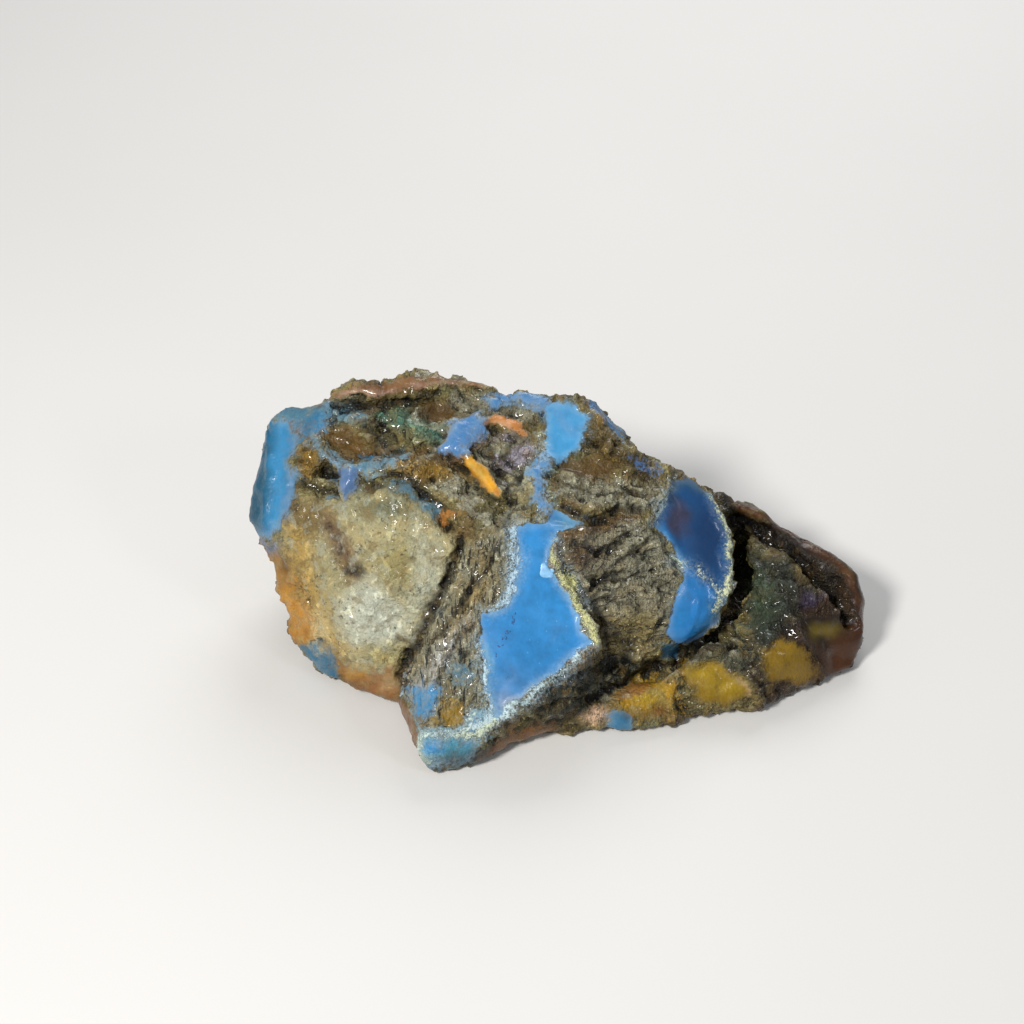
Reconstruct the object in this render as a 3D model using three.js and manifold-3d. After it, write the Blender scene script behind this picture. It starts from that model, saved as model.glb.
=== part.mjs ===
// A rough lump of blue amber in its weathered rind. The lump is one solid: several
// convex chunks, each drawn by its corners, are joined where they grew together.
// Millimetres, +Z up, +X along the lump, origin under the middle of the lump.
import * as THREE from 'three';
import { ConvexGeometry } from 'three/addons/geometries/ConvexGeometry.js';
import { mergeVertices } from 'three/addons/utils/BufferGeometryUtils.js';
import Module from 'manifold-3d';

// Driving dimensions: the box that the whole lump fills.
const lumpLength = 66.6;
const lumpDepth = 38.2;
const lumpHeight = 26;

// Corners of each chunk, in rows from its crest down to where it rests.
const chunks = {
  // The tall block: a big sloping face on the left front, a craggy top, a blunt back.
  mainBlock: [
    [-28, 14, 21.5], [-22, 14.8, 24], [-16, 14.6, 25], [-8, 14, 26], [-1, 12, 25], [4, 11.5, 24.5],
    [-24, 5, 19], [-17.5, 2.5, 21], [-11, 1, 21], [-7.8, -2, 20], [3, -2, 19.5], [6.5, 9.5, 22.5],
    [-29, 4, 13], [-30, 9, 12], [-14, -5.6, 11.5], [-19.5, -5.8, 10.5], [-25, -3, 8.4],
    [-30.2, 4, 9], [-29.4, 0.4, 5.4], [-28, 12, 7], [-22, 18, 12], [-6, 19, 14], [3, 17, 12],
    [-27.8, -3.2, 1.4], [-24.4, -6.4, 0.8], [-21, -8.4, 0.8], [-16.6, -10, 1], [-22, 16, 4], [-4, 18, 5],
    [4, 16, 5], [-25.4, -1, 0], [-20.4, -7, 0], [-15, -8.6, 0], [-23, 10, 0], [-18, 14, 0], [-3, 15, 0],
    [5, 12, 0],
  ],
  // The back's lower swell, behind the block and under its ledge.
  backSwell: [
    [-24, 13, 15], [-12, 18, 17], [-2, 17.4, 17], [-20, 18.6, 8], [-9, 19, 8.6], [0, 18, 9], [-16, 17, 2.4],
    [-4, 17.6, 2.6], [-22, 10, 5], [0, 10, 5], [-16, 12, 0], [-6, 14.6, 0],
  ],
  // The thin glassy rim that leans out over the left end.
  leftRim: [
    [-28.2, 15.2, 22], [-27.4, 12, 21.2], [-30.5, 15.3, 20], [-31.6, 13.8, 18], [-32.9, 8.5, 14],
    [-33.1, 6.7, 12], [-31.5, 5, 10.5], [-30.7, 4.8, 10], [-27.2, 2, 14.5], [-29, 16, 13], [-25, 8, 19.5],
    [-25, 15, 12],
  ],
  // The back ledge, a low step along the crest.
  crestLedge: [
    [-23, 15.4, 23.6], [-16.4, 15.4, 24.6], [-8.4, 14.8, 25.6], [-5, 13.2, 25.6], [-22, 13, 24.4],
    [-8, 12.6, 26], [-26, 15.6, 16], [-21, 17.4, 16.4], [-13, 18.4, 16], [-4, 17.6, 17.4], [-1, 15, 20.6],
  ],
  // The nose: a leaning prism that points forward, with the large window on its top.
  nose: [
    [-8, -2, 20], [-4.4, -3.2, 20.3], [2.6, -2.4, 20.2], [-8.4, -4.6, 17.5], [-12, -5.8, 12.6],
    [-15, -7.8, 7.4], [-15.8, -12.4, 6], [-13.2, -18.4, 5.2], [-7.2, -17.2, 6.2], [-3.4, -16.4, 7],
    [1.4, -13.8, 9.4], [4.4, -11.8, 11.4], [4.6, -6, 15], [-13.6, -19, 1.8], [-12.8, -19.2, 0.5],
    [-10.4, -18.8, 0.5], [-5.4, -16.4, 0.8], [-1, -14.4, 1.2], [3.4, -11.8, 2], [5, -6, 1],
    [-16.4, -10.6, 1.4], [-12.4, -18, 0], [-6, -15.4, 0], [2, -10, 0], [-14.8, -9.6, 0],
    [-13, 2, 2], [-2, 9, 2], [6, 6, 2],
  ],
  // The dark hollow's floor, low between the nose and the toe.
  hollow: [
    [-3, -15.2, 1.2], [2.4, -13, 1], [5.4, -12.6, 1], [-2, -14.6, 4], [2.6, -12.6, 5.4], [4.4, -11.4, 3.6],
    [8.4, -9.8, 3.4], [11.6, -8, 3.6], [6, -7, 6.6], [6, -4, 6], [12, -4, 4], [-2, -10, 0], [3, -11.8, 0],
    [8, -9.4, 0], [12, -6, 0],
  ],
  // The right shoulder's top: crust that falls away from the crest.
  shoulderTop: [
    [-1.2, 11.5, 25], [4, 11.5, 25], [6.4, 9.6, 23], [8.8, 8, 20.8], [10, 4.6, 19], [8.6, 1, 18.4],
    [2.6, -2.6, 19.6], [4.2, -7.6, 13.6], [8.4, -5.4, 13], [8.6, -7.8, 6.4], [4.6, -9.6, 8],
    [5, 15.4, 12], [10.4, 12.8, 9], [5, -6, 2], [7, 13.6, 1], [10.4, 11, 0.6], [6, -4, 0], [10, 8, 0],
    [9, -4, 0.6],
  ],
  // The right shoulder's end, where the deep window bulges out over the cleft.
  shoulderEnd: [
    [8.8, 8, 20.8], [11, 6.8, 19], [15.2, 7.3, 17.5], [17.6, 7.4, 15.6], [18.8, 5, 13.5], [19.2, 1.6, 11],
    [18.8, -2, 8.6], [16.8, -4.8, 7.2], [13.8, -6.6, 6.6], [11.2, -7.2, 7], [8.6, 1, 18.4],
    [10.8, 3.2, 18.4], [8.4, -5.4, 13], [8.6, -7.8, 6.4], [17.5, 6, 7], [15.5, 0, 4], [12, -4.6, 3.6],
    [9, 12.6, 10], [14.4, 11, 9], [9, -4, 0.6], [9, 11.4, 1], [14, 9, 0.6], [12, -1, 0.6], [9, 4, 0],
    [12, 6, 0],
  ],
  // The cleft's floor, under the overhanging window.
  cleftFloor: [
    [11, -8.8, 3.4], [14, -6.6, 3.4], [20, -5, 4], [20.6, 2, 3.6], [20.4, 9, 4.4], [13, 9, 4], [11, -4, 3.4],
    [12, -7, 0], [20, -5, 0], [20, 8, 0], [12, 6, 0],
  ],
  // The tail's back wall, which runs on from behind the shoulder.
  tailWall: [
    [15, 10.6, 12.6], [20.8, 9.2, 12], [22.8, 9, 11.2], [24.8, 7.2, 10.6], [21, 6.8, 10], [15, 8, 9],
    [14, 13, 6], [24, 12.6, 5], [25.6, 10, 5], [14, 11, 0.4], [22, 10.4, 0], [25, 8, 0], [16, 8, 0],
  ],
  // The tail's body: a rounded hump, cut off from the shoulder by a deep cleft.
  tailBody: [
    [21.6, 8, 10.6], [24.8, 7.2, 10.6], [26.8, 5.4, 10], [29, 4.2, 9.2], [31, 3.4, 9], [32.7, 2.6, 8],
    [33.5, 1, 6.2], [33.4, -2.8, 4.2], [21, 2.4, 7.8], [20.6, -2.8, 6.6], [22.6, -2.2, 8.4],
    [26, -2.4, 8.2], [29.6, -2.6, 7], [31.8, -4.2, 3.4], [25, -6, 6], [20.4, -4.8, 5.6],
    [25, 12, 5], [30.6, 8, 4.4], [33.2, 3, 3], [33.2, -4, 1.4], [20, 6, 2], [19.2, -3, 2],
    [24, 10.4, 0], [29.4, 5.6, 0], [31.6, -3.2, 0], [22, -5.4, 0], [19.6, 4, 0],
  ],
  // The tail's low front slope, with the warm windows.
  tailSlope: [
    [25.2, -6.2, 5.4], [20.2, -5, 5.5], [14.8, -7, 4.7], [11.4, -9.8, 4.2], [14.8, -9.2, 4.4],
    [23.4, -7.4, 3.8], [18.4, -8.2, 4], [32.8, -4.9, 1.2], [28.8, -6, 0.9], [22.8, -8, 0.9],
    [17.6, -9.4, 0.9], [14.6, -12.2, 0.9], [12, -5, 3], [18, -3, 3.4], [30.8, -4.4, 0], [22.4, -7, 0],
    [14.6, -10.8, 0], [12, -6, 0], [26, 1, 0], [26, -3, 7],
  ],
  // The resting face, worn flat across the whole underside.
  restingFace: [
    [-22, -2, 0], [-11, -16, 0], [2, -11.5, 0], [14, -10, 0], [28, -5, 0], [28, 4, 0], [22, 9, 0], [0, 13, 0],
    [-16, 12, 0], [-21, -2, 3], [-11, -14, 3], [2, -10.5, 2], [14, -9, 2], [26, -4, 3], [26, 4, 3], [21, 8, 3],
    [0, 12, 4], [-16, 11, 4],
  ],
  // The toe: the low knob between the nose and the tail.
  toe: [
    [6.4, -12.4, 3.8], [10.4, -10.8, 4.2], [14.4, -9.4, 4.6], [6.8, -14, 0.9], [10, -12.6, 0.8],
    [14.6, -12.2, 0.8], [4.8, -12.8, 1.4], [5, -10, 2.4], [12, -5, 3.4], [7, -13.2, 0], [14, -11, 0],
    [12, -6, 0], [5, -8, 0],
  ],
};

const wasm = await Module();
wasm.setup();

function solidFrom(corners) {
  const shape = new ConvexGeometry(corners.map(([x, y, z]) => new THREE.Vector3(x, y, z)));
  shape.deleteAttribute('normal');
  shape.deleteAttribute('uv');
  const merged = mergeVertices(shape, 1e-4);
  return new wasm.Manifold(new wasm.Mesh({
    numProp: 3,
    vertProperties: new Float32Array(merged.attributes.position.array),
    triVerts: new Uint32Array(merged.index.array),
  }));
}

function joined(cornerLists) {
  const solids = cornerLists.map(solidFrom);
  return solids.reduce((lump, chunk) => lump.add(chunk));
}

function geometryFrom(solid) {
  const { vertProperties, triVerts } = solid.getMesh();
  const geometry = new THREE.BufferGeometry();
  geometry.setAttribute('position', new THREE.BufferAttribute(vertProperties, 3));
  geometry.setIndex(new THREE.BufferAttribute(triVerts, 1));
  return geometry;
}

// Stretches the lump to its driving dimensions and sets it on z = 0 over the origin.
function fittedToBox(geometry) {
  geometry.computeBoundingBox();
  const { min, max } = geometry.boundingBox;
  geometry.translate(-(min.x + max.x) / 2, -(min.y + max.y) / 2, -min.z);
  geometry.scale(
    lumpLength / (max.x - min.x),
    lumpDepth / (max.y - min.y),
    lumpHeight / (max.z - min.z),
  );
  geometry.computeVertexNormals();
  return geometry;
}

const weatheredAmber = new THREE.MeshStandardMaterial({
  color: 0x9a8f70,
  roughness: 0.45,
  metalness: 0,
  flatShading: true,
});

const specimen = new THREE.Mesh(fittedToBox(geometryFrom(joined(Object.values(chunks)))), weatheredAmber);
specimen.name = 'amber_specimen';

const group = new THREE.Group();
group.add(specimen);

export default group;
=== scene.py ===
# A rough lump of blue amber in its weathered rind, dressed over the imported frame. The frame's solid
# becomes one fine mesh, small stones are strewn on it, and a few pebbles are set in its windows.
# Sizes are in millimetres and become metres where a mesh or a light is made.
import itertools
import math
from types import SimpleNamespace

import bmesh
import bpy
import numpy as np
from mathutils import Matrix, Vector


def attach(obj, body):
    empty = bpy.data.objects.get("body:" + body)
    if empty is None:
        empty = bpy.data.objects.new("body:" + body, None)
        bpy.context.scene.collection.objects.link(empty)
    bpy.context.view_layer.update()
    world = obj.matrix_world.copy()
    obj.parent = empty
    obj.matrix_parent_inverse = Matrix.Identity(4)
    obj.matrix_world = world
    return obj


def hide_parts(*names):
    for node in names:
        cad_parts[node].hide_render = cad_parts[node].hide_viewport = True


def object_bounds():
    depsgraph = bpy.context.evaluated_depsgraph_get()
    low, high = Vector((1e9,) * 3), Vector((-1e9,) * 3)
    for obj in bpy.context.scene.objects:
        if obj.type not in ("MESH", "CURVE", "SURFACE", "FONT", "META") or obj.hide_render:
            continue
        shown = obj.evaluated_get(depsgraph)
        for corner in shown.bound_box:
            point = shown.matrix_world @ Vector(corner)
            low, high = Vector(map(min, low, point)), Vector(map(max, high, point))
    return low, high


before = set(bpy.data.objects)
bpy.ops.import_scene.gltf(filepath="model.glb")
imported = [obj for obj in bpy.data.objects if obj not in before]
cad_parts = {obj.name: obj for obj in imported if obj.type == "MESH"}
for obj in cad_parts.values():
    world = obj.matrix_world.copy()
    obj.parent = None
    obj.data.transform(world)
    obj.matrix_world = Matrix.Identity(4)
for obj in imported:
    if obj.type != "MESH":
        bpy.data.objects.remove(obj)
cadLow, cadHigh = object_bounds()
mm = 0.001
boxLow = np.array(cadLow) / mm
boxHigh = np.array(cadHigh) / mm
boxMiddle = (boxLow + boxHigh) / 2
print("frame loaded, box in mm:", boxLow.round(2), boxHigh.round(2))


# A plane that leans back from upright: x runs along it, level, and v runs up it.
def leaningPlane(alongX, alongY, lean):
    along = np.array([alongX, alongY, 0.0])
    up = np.array([-alongY * math.sin(lean), alongX * math.sin(lean), math.cos(lean)])
    return along, up, np.cross(along, up)


frontLean = math.radians(42)
sideLean = 0.35
drawingPlanes = {
    "front": leaningPlane(1, 0, frontLean),
    "back": leaningPlane(-1, 0, sideLean),
    "end": leaningPlane(0, 1, sideLean),
}

latticeCells = 256       # the smooth noise repeats after so many cells
latticeReach = 1.7       # brings it to about -1 to 1
facetTable = 4096        # how many different facets there are
facetMixers = (73856093, 19349663, 83492791)      # large primes, which scatter the facets


# Smooth noise: a random slope at each corner of a lattice, eased between them.
def latticeNoise(points, size, seed):
    draw = np.random.default_rng(seed)
    order = np.tile(draw.permutation(latticeCells), 3)
    slopes = draw.normal(size=(latticeCells, 3))
    slopes /= np.linalg.norm(slopes, axis=1)[:, None]
    scaled = points / size
    corner = np.floor(scaled).astype(int)
    offset = scaled - corner
    fade = offset ** 3 * (offset * (offset * 6 - 15) + 10)
    total = np.zeros(len(points))
    for step in itertools.product((0, 1), repeat=3):
        cell = (corner + step) % latticeCells
        pick = order[order[order[cell[:, 0]] + cell[:, 1]] + cell[:, 2]]
        weight = np.prod(np.where(step, fade, 1 - fade), axis=1)
        total += weight * np.einsum("ij,ij->i", slopes[pick], offset - step)
    return total * latticeReach


# Each layer is half the size of the one before, and weaker.
def layeredNoise(points, size, seed, layers=3, keep=0.5):
    total = np.zeros(len(points))
    strength = 1.0
    for layer in range(layers):
        total += strength * latticeNoise(points, size / 2 ** layer, seed + layer)
        strength *= keep
    return total


# Broken facets: each cell of stone has its own middle, level and tilt.
def chippedNoise(points, size, seed, tilt=0.35):
    scaled = points / size
    corner = np.floor(scaled).astype(int)
    best = np.full(len(points), np.inf)
    level = np.zeros(len(points))
    table = np.random.default_rng(seed).random((facetTable, 7))
    for step in itertools.product((-1, 0, 1), repeat=3):
        cell = corner + step
        mixed = cell * facetMixers
        own = table[(mixed[:, 0] ^ mixed[:, 1] ^ mixed[:, 2]) % facetTable]
        away = scaled - (cell + own[:, :3])
        distance = np.einsum("ij,ij->i", away, away)
        closer = distance < best
        slant = np.einsum("ij,ij->i", away, own[:, 3:6] - 0.5)
        level = np.where(closer, own[:, 6] - 0.5 + tilt * slant * 3, level)
        best = np.where(closer, distance, best)
    return level


# Stone that splits in sheets: noise stretched along the sheets, which are thick and long in mm.
def sheetNoise(points, across, seed, thick, long):
    across = across / np.linalg.norm(across)
    wave = latticeNoise(points, size=5.0, seed=seed + 40) * 1.5
    depth = points @ across + wave
    flattened = points - np.outer(points @ across, across)
    stretched = flattened / long + np.outer(depth / thick, across)
    return layeredNoise(stretched, size=1.0, seed=seed, layers=2, keep=0.6)


def smoothStep(value, low, high):
    share = np.clip((value - low) / (high - low), 0, 1)
    return share * share * (3 - 2 * share)


# Distance to a closed outline, above 0 inside it.
def insideDistance(flat, outline):
    corners = np.array(outline, float)
    nearest = np.full(len(flat), np.inf)
    inside = np.zeros(len(flat), bool)
    for start, end in zip(corners, np.roll(corners, -1, axis=0)):
        edge = end - start
        away = flat - start
        share = np.clip(away @ edge / (edge @ edge), 0, 1)
        nearest = np.minimum(nearest, np.linalg.norm(away - share[:, None] * edge, axis=1))
        crosses = (start[1] > flat[:, 1]) != (end[1] > flat[:, 1])
        rise = edge[1] or 1e-9      # nothing crosses a level edge
        crossing = start[0] + (flat[:, 1] - start[1]) / rise * edge[0]
        inside ^= crosses & (flat[:, 0] < crossing)
    return np.where(inside, nearest, -nearest)


# Distance inside a band along a line whose points are (x, v, half width).
def bandDistance(flat, line):
    best = np.full(len(flat), -np.inf)
    for start, end in zip(line[:-1], line[1:]):
        begin = np.array(start[:2], float)
        edge = np.array(end[:2], float) - begin
        share = np.clip((flat - begin) @ edge / (edge @ edge), 0, 1)
        half = start[2] + share * (end[2] - start[2])
        away = np.linalg.norm(flat - begin - share[:, None] * edge, axis=1)
        best = np.maximum(best, half - away)
    return best


# Distance inside an oval, which is (x, v, half width, half height).
def spotDistance(flat, spot):
    x, v, wide, tall = spot
    away = (flat - (x, v)) / (wide, tall)
    return (1 - np.linalg.norm(away, axis=1)) * min(wide, tall)


# Outlines wander, as broken edges do: by how many mm, the size of the noise and its seed.
wanderLayers = [(0.42, 2.4, 11), (0.22, 0.9, 13)]


# Everything that a mark needs to know of the surface.
def surveyed(mesh, rounds=10):
    points = asPoints(mesh) / mm
    normals = asPoints(mesh, "vertex_normals", "vector")
    calm = spread(mesh, normals, rounds)
    calm /= np.linalg.norm(calm, axis=1)[:, None]
    wander = np.zeros((len(points), 2))
    for amount, size, seed in wanderLayers:
        for axis in (0, 1):
            wander[:, axis] += amount * latticeNoise(points, size, seed + axis)
    survey = dict(points=points, normals=normals, calm=calm, wander=wander, flats={}, facings={}, levels={})
    for plane, (along, up, outward) in drawingPlanes.items():
        survey["flats"][plane] = np.stack([points @ along, points @ up], axis=1)
        survey["facings"][plane] = calm @ outward
        survey["levels"][plane] = points @ outward
    return survey


farOutside = -6.0        # mm, where a point counts as far outside a mark


# A mark is on what faces its plane by more than turn, and stands out of it by more than above, in mm.
def markDistance(survey, mark):
    plane = mark.get("plane", "front")
    flat = survey["flats"][plane] + survey["wander"] * mark.get("wander", 1.0)
    if "outline" in mark:
        distance = insideDistance(flat, mark["outline"])
    elif "line" in mark:
        distance = bandDistance(flat, mark["line"])
    else:
        distance = spotDistance(flat, mark["spot"])
    seen = survey["facings"][plane] > mark.get("turn", 0.0)
    seen &= survey["levels"][plane] > mark.get("above", -np.inf)
    return np.where(seen, distance, farOutside)


def markShare(survey, mark, soft):
    return smoothStep(markDistance(survey, mark), -soft, soft)


# Each mark below is an outline, a line or a spot on its plane, which is the front where none is named.
# wander is how far its edge strays, against the usual 1, and turn and above keep it off other faces.

# The windows are the places where the rind is off and the amber shows.
# clear is how see-through, grit how much rind is left on it, soft how wide its edge fades in mm,
# frost how milky it gets towards its edge, and gloss how fresh and sharply broken it is.
glassDefaults = dict(clear=0.15, grit=0.5, soft=0.1, frost=0.0, gloss=0.7)
glassMarks = {
    # blue windows
    "bigWindow": dict(
        outline=[(-4, 13), (-1.5, 13), (-0.5, 14.5), (3, 13.5), (0, 12), (-1, 9.5), (0.5, 7), (2, 4.5),
        (2.5, 2.5), (3.7, 1), (1.5, -0.5), (-1.5, -3), (-5.5, -6), (-7, -7), (-7.5, -3), (-8, 1), (-7.7, 4),
        (-5.5, 4.5), (-4.5, 6), (-4.3, 10)], tone="milkBlue", gloss=0.2, clear=0.18, grit=0.0, soft=0.03,
        frost=0.6),
    "rightWindow": dict(
        outline=[(11.2, 15.5), (12, 17.5), (14, 18.2), (16.8, 16.6), (18.5, 12.8), (18.9, 9), (18.1, 5),
        (16.6, 2.4), (15, 0.8), (12.5, 0.5), (11.5, 2), (12.5, 5.5), (13.5, 8), (12, 11), (10, 13)],
        tone="deepBlue", gloss=0.5, clear=0.5, grit=0.0, soft=0.12, frost=0.7, turn=0.15, above=3.8),
    "rimWindow": dict(
        outline=[(-35, 11), (-35, 25), (-31, 25), (-28.6, 24), (-27.4, 22), (-28.6, 20), (-27.4, 18),
        (-28, 15.5), (-29.4, 13.2), (-30.8, 11.6)], tone="rimBlue", gloss=0.5, clear=0.3, grit=0.2,
        soft=0.4, frost=0.7, turn=-0.4),
    "topPatch": dict(
        outline=[(-1.5, 26), (1.5, 26), (3.5, 24.5), (3, 22.5), (2, 21), (0.5, 19.5), (-1.5, 20), (-1, 23)],
        tone="skyBlue", gloss=0.3, clear=0.2, grit=0.12, soft=0.25, frost=0.6),
    "blob": dict(
        outline=[(-8.5, 25.2), (-7.3, 24), (-7.3, 22.5), (-10, 20.3), (-12.5, 20.8), (-10.8, 23),
        (-9.7, 24.3)], tone="blobBlue", gloss=0.5, clear=0.25, grit=0.35, soft=0.5, frost=0.4),
    "tooth": dict(
        outline=[(-22.8, 18.8), (-20.3, 19.4), (-20.8, 17), (-22, 15.2), (-22.7, 17)], tone="toothBlue",
        gloss=0.3, clear=0.3, grit=0.15, soft=0.35, frost=0.5),
    "heelBlue": dict(
        outline=[(-28, 0), (-25.5, 0.5), (-23, -2), (-21.5, -5.5), (-24, -5), (-26.5, -3)], tone="heelTeal",
        gloss=0.5, clear=0.3, grit=0.5, soft=1.3, frost=0.2, wander=1.7),
    "noseFlake": dict(
        outline=[(-15.3, -3.5), (-12.8, -3.4), (-11.4, -4), (-12.4, -5.2), (-12.8, -7), (-14.2, -6.6),
        (-14.9, -5)], tone="noseBlue", gloss=0.2, clear=0.1, grit=0.55, soft=0.6, frost=0.25, wander=1.3),
    "bandFlake": dict(spot=(-9.8, -2, 1.2, 0.9), tone="slateTeal", grit=0.8, soft=0.5, frost=0.5),
    "noseEdge": dict(
        outline=[(-9.4, -6.6), (-7.2, -5.6), (-7, -7.6), (-8.6, -8.6), (-11, -8.6)], tone="seaGreen",
        gloss=0.2, clear=0.1, grit=0.5, soft=0.5, frost=0.9, wander=1.3),
    "noseTip": dict(
        outline=[(-14.2, -7.2), (-12, -7.9), (-9.2, -8), (-7.5, -8.6), (-8.6, -10.6), (-11, -12),
        (-14.5, -11.5)], tone="seaGreen", gloss=0.2, clear=0.15, grit=0.55, soft=0.5, frost=0.9,
        wander=1.5),
    "toeTip": dict(
        outline=[(5.2, -6.6), (8, -6.4), (7.8, -9), (5.6, -9.2)], tone="tealBlue", clear=0.3, grit=0.2,
        soft=0.35, frost=0.6),
    "underFlake": dict(
        outline=[(11, 0.6), (13, 0.6), (13.2, -0.8), (11.3, -0.8)], tone="tealBlue", clear=0.2, grit=0.3,
        soft=0.4),
    # blue veins and thin flakes
    "crestVein": dict(
        line=[(-26, 23.5, 0.5), (-25, 21, 0.35), (-23, 19.7, 0.4), (-20.5, 18.8, 0.65), (-18.5, 19.6, 0.45),
        (-16, 20.2, 0.25)], tone="slateTeal", gloss=0.4, clear=0.12, grit=0.6, soft=0.5, frost=0.8,
        wander=1.5),
    "slantVein": dict(
        line=[(-18, 17.6, 0.2), (-15.2, 16.7, 0.42), (-13.2, 15, 0.42), (-12, 13.6, 0.2)], tone="slateTeal",
        gloss=0.4, clear=0.2, grit=0.5, soft=0.4),
    "dropVein": dict(
        line=[(-1.5, 20, 0.5), (-2, 17, 0.65), (-1.2, 14.5, 0.8)], tone="dustBlue", gloss=0.4, clear=0.15,
        grit=0.45, soft=0.4, frost=0.8, wander=1.5),
    "brinkVein": dict(
        line=[(-7, 26, 0.6), (-4, 27, 0.8), (-1.5, 26, 0.9)], tone="dustBlue", gloss=0.3, clear=0.2,
        grit=0.35, soft=0.4, frost=0.7),
    "brinkFlake": dict(
        line=[(4, 26, 0.3), (5.5, 24.5, 0.5), (7, 22.5, 0.3)], tone="dustBlue", clear=0.2, grit=0.5,
        soft=0.4),
    "shoulderFlake": dict(
        line=[(8, 20, 0.3), (10.5, 18.5, 0.4)], tone="toothBlue", clear=0.2, grit=0.8, soft=0.4),
    # honey and brown amber, and the blue cap of the left rim
    "leftHoney": dict(
        outline=[(-33, 11.5), (-29.5, 11), (-28, 9), (-27.5, 6), (-26, 3.5), (-25.5, 1.5), (-27, 0),
        (-32, 0)], tone="honey", gloss=0.3, clear=0.2, grit=0.65, soft=0.9, turn=-0.2),
    "heelHoney": dict(
        outline=[(-24, -1), (-21, -2.3), (-17, -2.2), (-16, -6), (-19, -6.5), (-22, -5)], tone="heelBrown",
        gloss=0.5, clear=0.15, grit=0.5, soft=0.8, wander=1.4),
    "noseHoney": dict(
        outline=[(-17.5, -4), (-15, -6), (-13.8, -9), (-14.5, -11), (-18, -6.5)], tone="emberDull",
        gloss=0.4, clear=0.2, grit=0.35, soft=0.5, turn=-0.3),
    "noseUnder": dict(
        outline=[(-9, -11), (-4, -8), (0, -7), (0, -9), (-5, -12)], tone="emberDull", gloss=0.2, clear=0.15,
        grit=0.4, soft=0.6, wander=1.5),
    "sliver": dict(
        line=[(-9.6, 20.2, 0.1), (-8.9, 19.5, 0.6), (-7.8, 18.4, 0.9), (-6.8, 17.1, 0.65),
        (-5.8, 16, 0.12)], tone="lemon", gloss=0.3, clear=0.25, grit=0.05, soft=0.2, wander=0.15),
    "arc": dict(
        line=[(-7.6, 23.7, 0.15), (-6.2, 24.2, 0.5), (-4.6, 23.7, 0.6), (-3.2, 22.4, 0.15)], tone="coral",
        gloss=0.5, clear=0.3, grit=0.05, soft=0.2, wander=0.12),
    "crestStrip": dict(
        line=[(-24.6, 26.5, 0.1), (-21.5, 27.3, 0.5), (-17, 27.9, 0.7), (-12.5, 28.5, 0.55),
        (-9, 28.3, 0.4), (-6.5, 27.5, 0.2)], tone="crestBrown", gloss=0.8, clear=0.3, grit=0.35, soft=0.35,
        wander=0.8),
    "lensPocket": dict(
        outline=[(-24.8, 23), (-22, 23.6), (-19.6, 21.8), (-18.6, 20.4), (-21, 20.2), (-23.8, 21.2)],
        tone="mossGold", clear=0.25, grit=0.6, soft=0.6),
    "crestPocket": dict(
        outline=[(-14.2, 25.8), (-12, 26.3), (-10.4, 25.2), (-10.8, 23.8), (-13, 24)], tone="umberGold",
        clear=0.2, grit=0.5, soft=0.5),
    "rimCap": dict(
        outline=[(-35, 25), (-35, 28), (-28, 28.8), (-24.5, 26), (-24.2, 23.4), (-27.4, 22), (-28.6, 24),
        (-31, 25)], tone="rimBlue", gloss=0.5, clear=0.2, grit=0.55, soft=0.6, frost=0.5, turn=-0.4,
        wander=1.4),
    "orangeSpot": dict(spot=(-11.3, 14, 0.9, 0.55), tone="emberBright", clear=0.2, grit=0.6, soft=0.4),
    "brownPocket": dict(
        outline=[(0.5, 20), (4, 20.5), (6.5, 19), (5, 18), (1, 18.5)], tone="umberGold", clear=0.2,
        grit=0.5, soft=0.6),
    "ochreCell": dict(spot=(-10.7, -6.2, 1.4, 1.3), tone="ochre", clear=0.05, grit=0.7, soft=0.3),
    "ochreDot": dict(spot=(-12.7, -6.9, 0.5, 0.6), tone="ochre", clear=0.05, grit=0.8, soft=0.3),
    # yellow on the toe, dark amber on the tail, darker than the amber's own colour as painted shade
    "yellowMiddle": dict(
        outline=[(12.9, -1.6), (16.4, -1.5), (19.7, -2.9), (20.8, -5), (17.4, -6.4), (15.4, -5.6),
        (13.8, -3.6)], tone="mustard", gloss=0.4, clear=0.2, grit=0.35, soft=0.6, wander=1.3),
    "yellowRight": dict(
        outline=[(21.6, -0.6), (23.6, 0.9), (26, 0.4), (28.4, -2.8), (26.4, -4.2), (22.2, -3.4)],
        tone="mustard", gloss=0.4, clear=0.2, grit=0.35, soft=0.6, turn=-0.3, wander=1.2),
    "yellowLeft": dict(
        outline=[(6.4, -5), (10, -2.2), (13.2, -3.4), (13, -7), (9, -7.6), (6.5, -6.6)], tone="gold",
        gloss=0.4, clear=0.15, grit=0.75, soft=0.4, wander=1.5),
    "tailAmber": dict(
        outline=[(25.8, 2.5), (28, 3.6), (31, 3), (36, 3), (36, -6), (29.4, -6), (28.6, -3), (27.6, -0.6)],
        tone="amberDeep", gloss=0.3, clear=0.12, grit=0.15, soft=0.6, turn=-0.25, wander=1.6),
    "tailRim": dict(
        line=[(18.5, 16.5, 0.5), (25, 12.8, 0.8), (30.5, 8.8, 1.0), (33.4, 6, 1.2), (34, 1, 1.2)],
        tone="amberDeep", gloss=0.5, clear=0.12, grit=0.2, soft=0.5, turn=-0.3, wander=1.2),
    # the right end and the back
    "endAmber": dict(
        plane="end", outline=[(-9, -8), (-5, -9.6), (1, -8.4), (4, -5.5), (1.5, -3.6), (-2.5, -4.8),
        (-6, -2.6), (-9, -4)], tone="amberDeep", clear=0.15, grit=0.35, soft=0.5, turn=0.3, above=28.5,
        wander=2.2),
    "backSea": dict(
        plane="back", outline=[(0.5, 5), (4, 3), (8.5, 3.6), (10.5, 6), (15, 5.4), (17, 8), (13, 9.4),
        (11, 13), (8, 15), (7.4, 10.8), (4.6, 9), (2, 9.6)], tone="tealBlue", gloss=1.0, clear=0.4,
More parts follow.
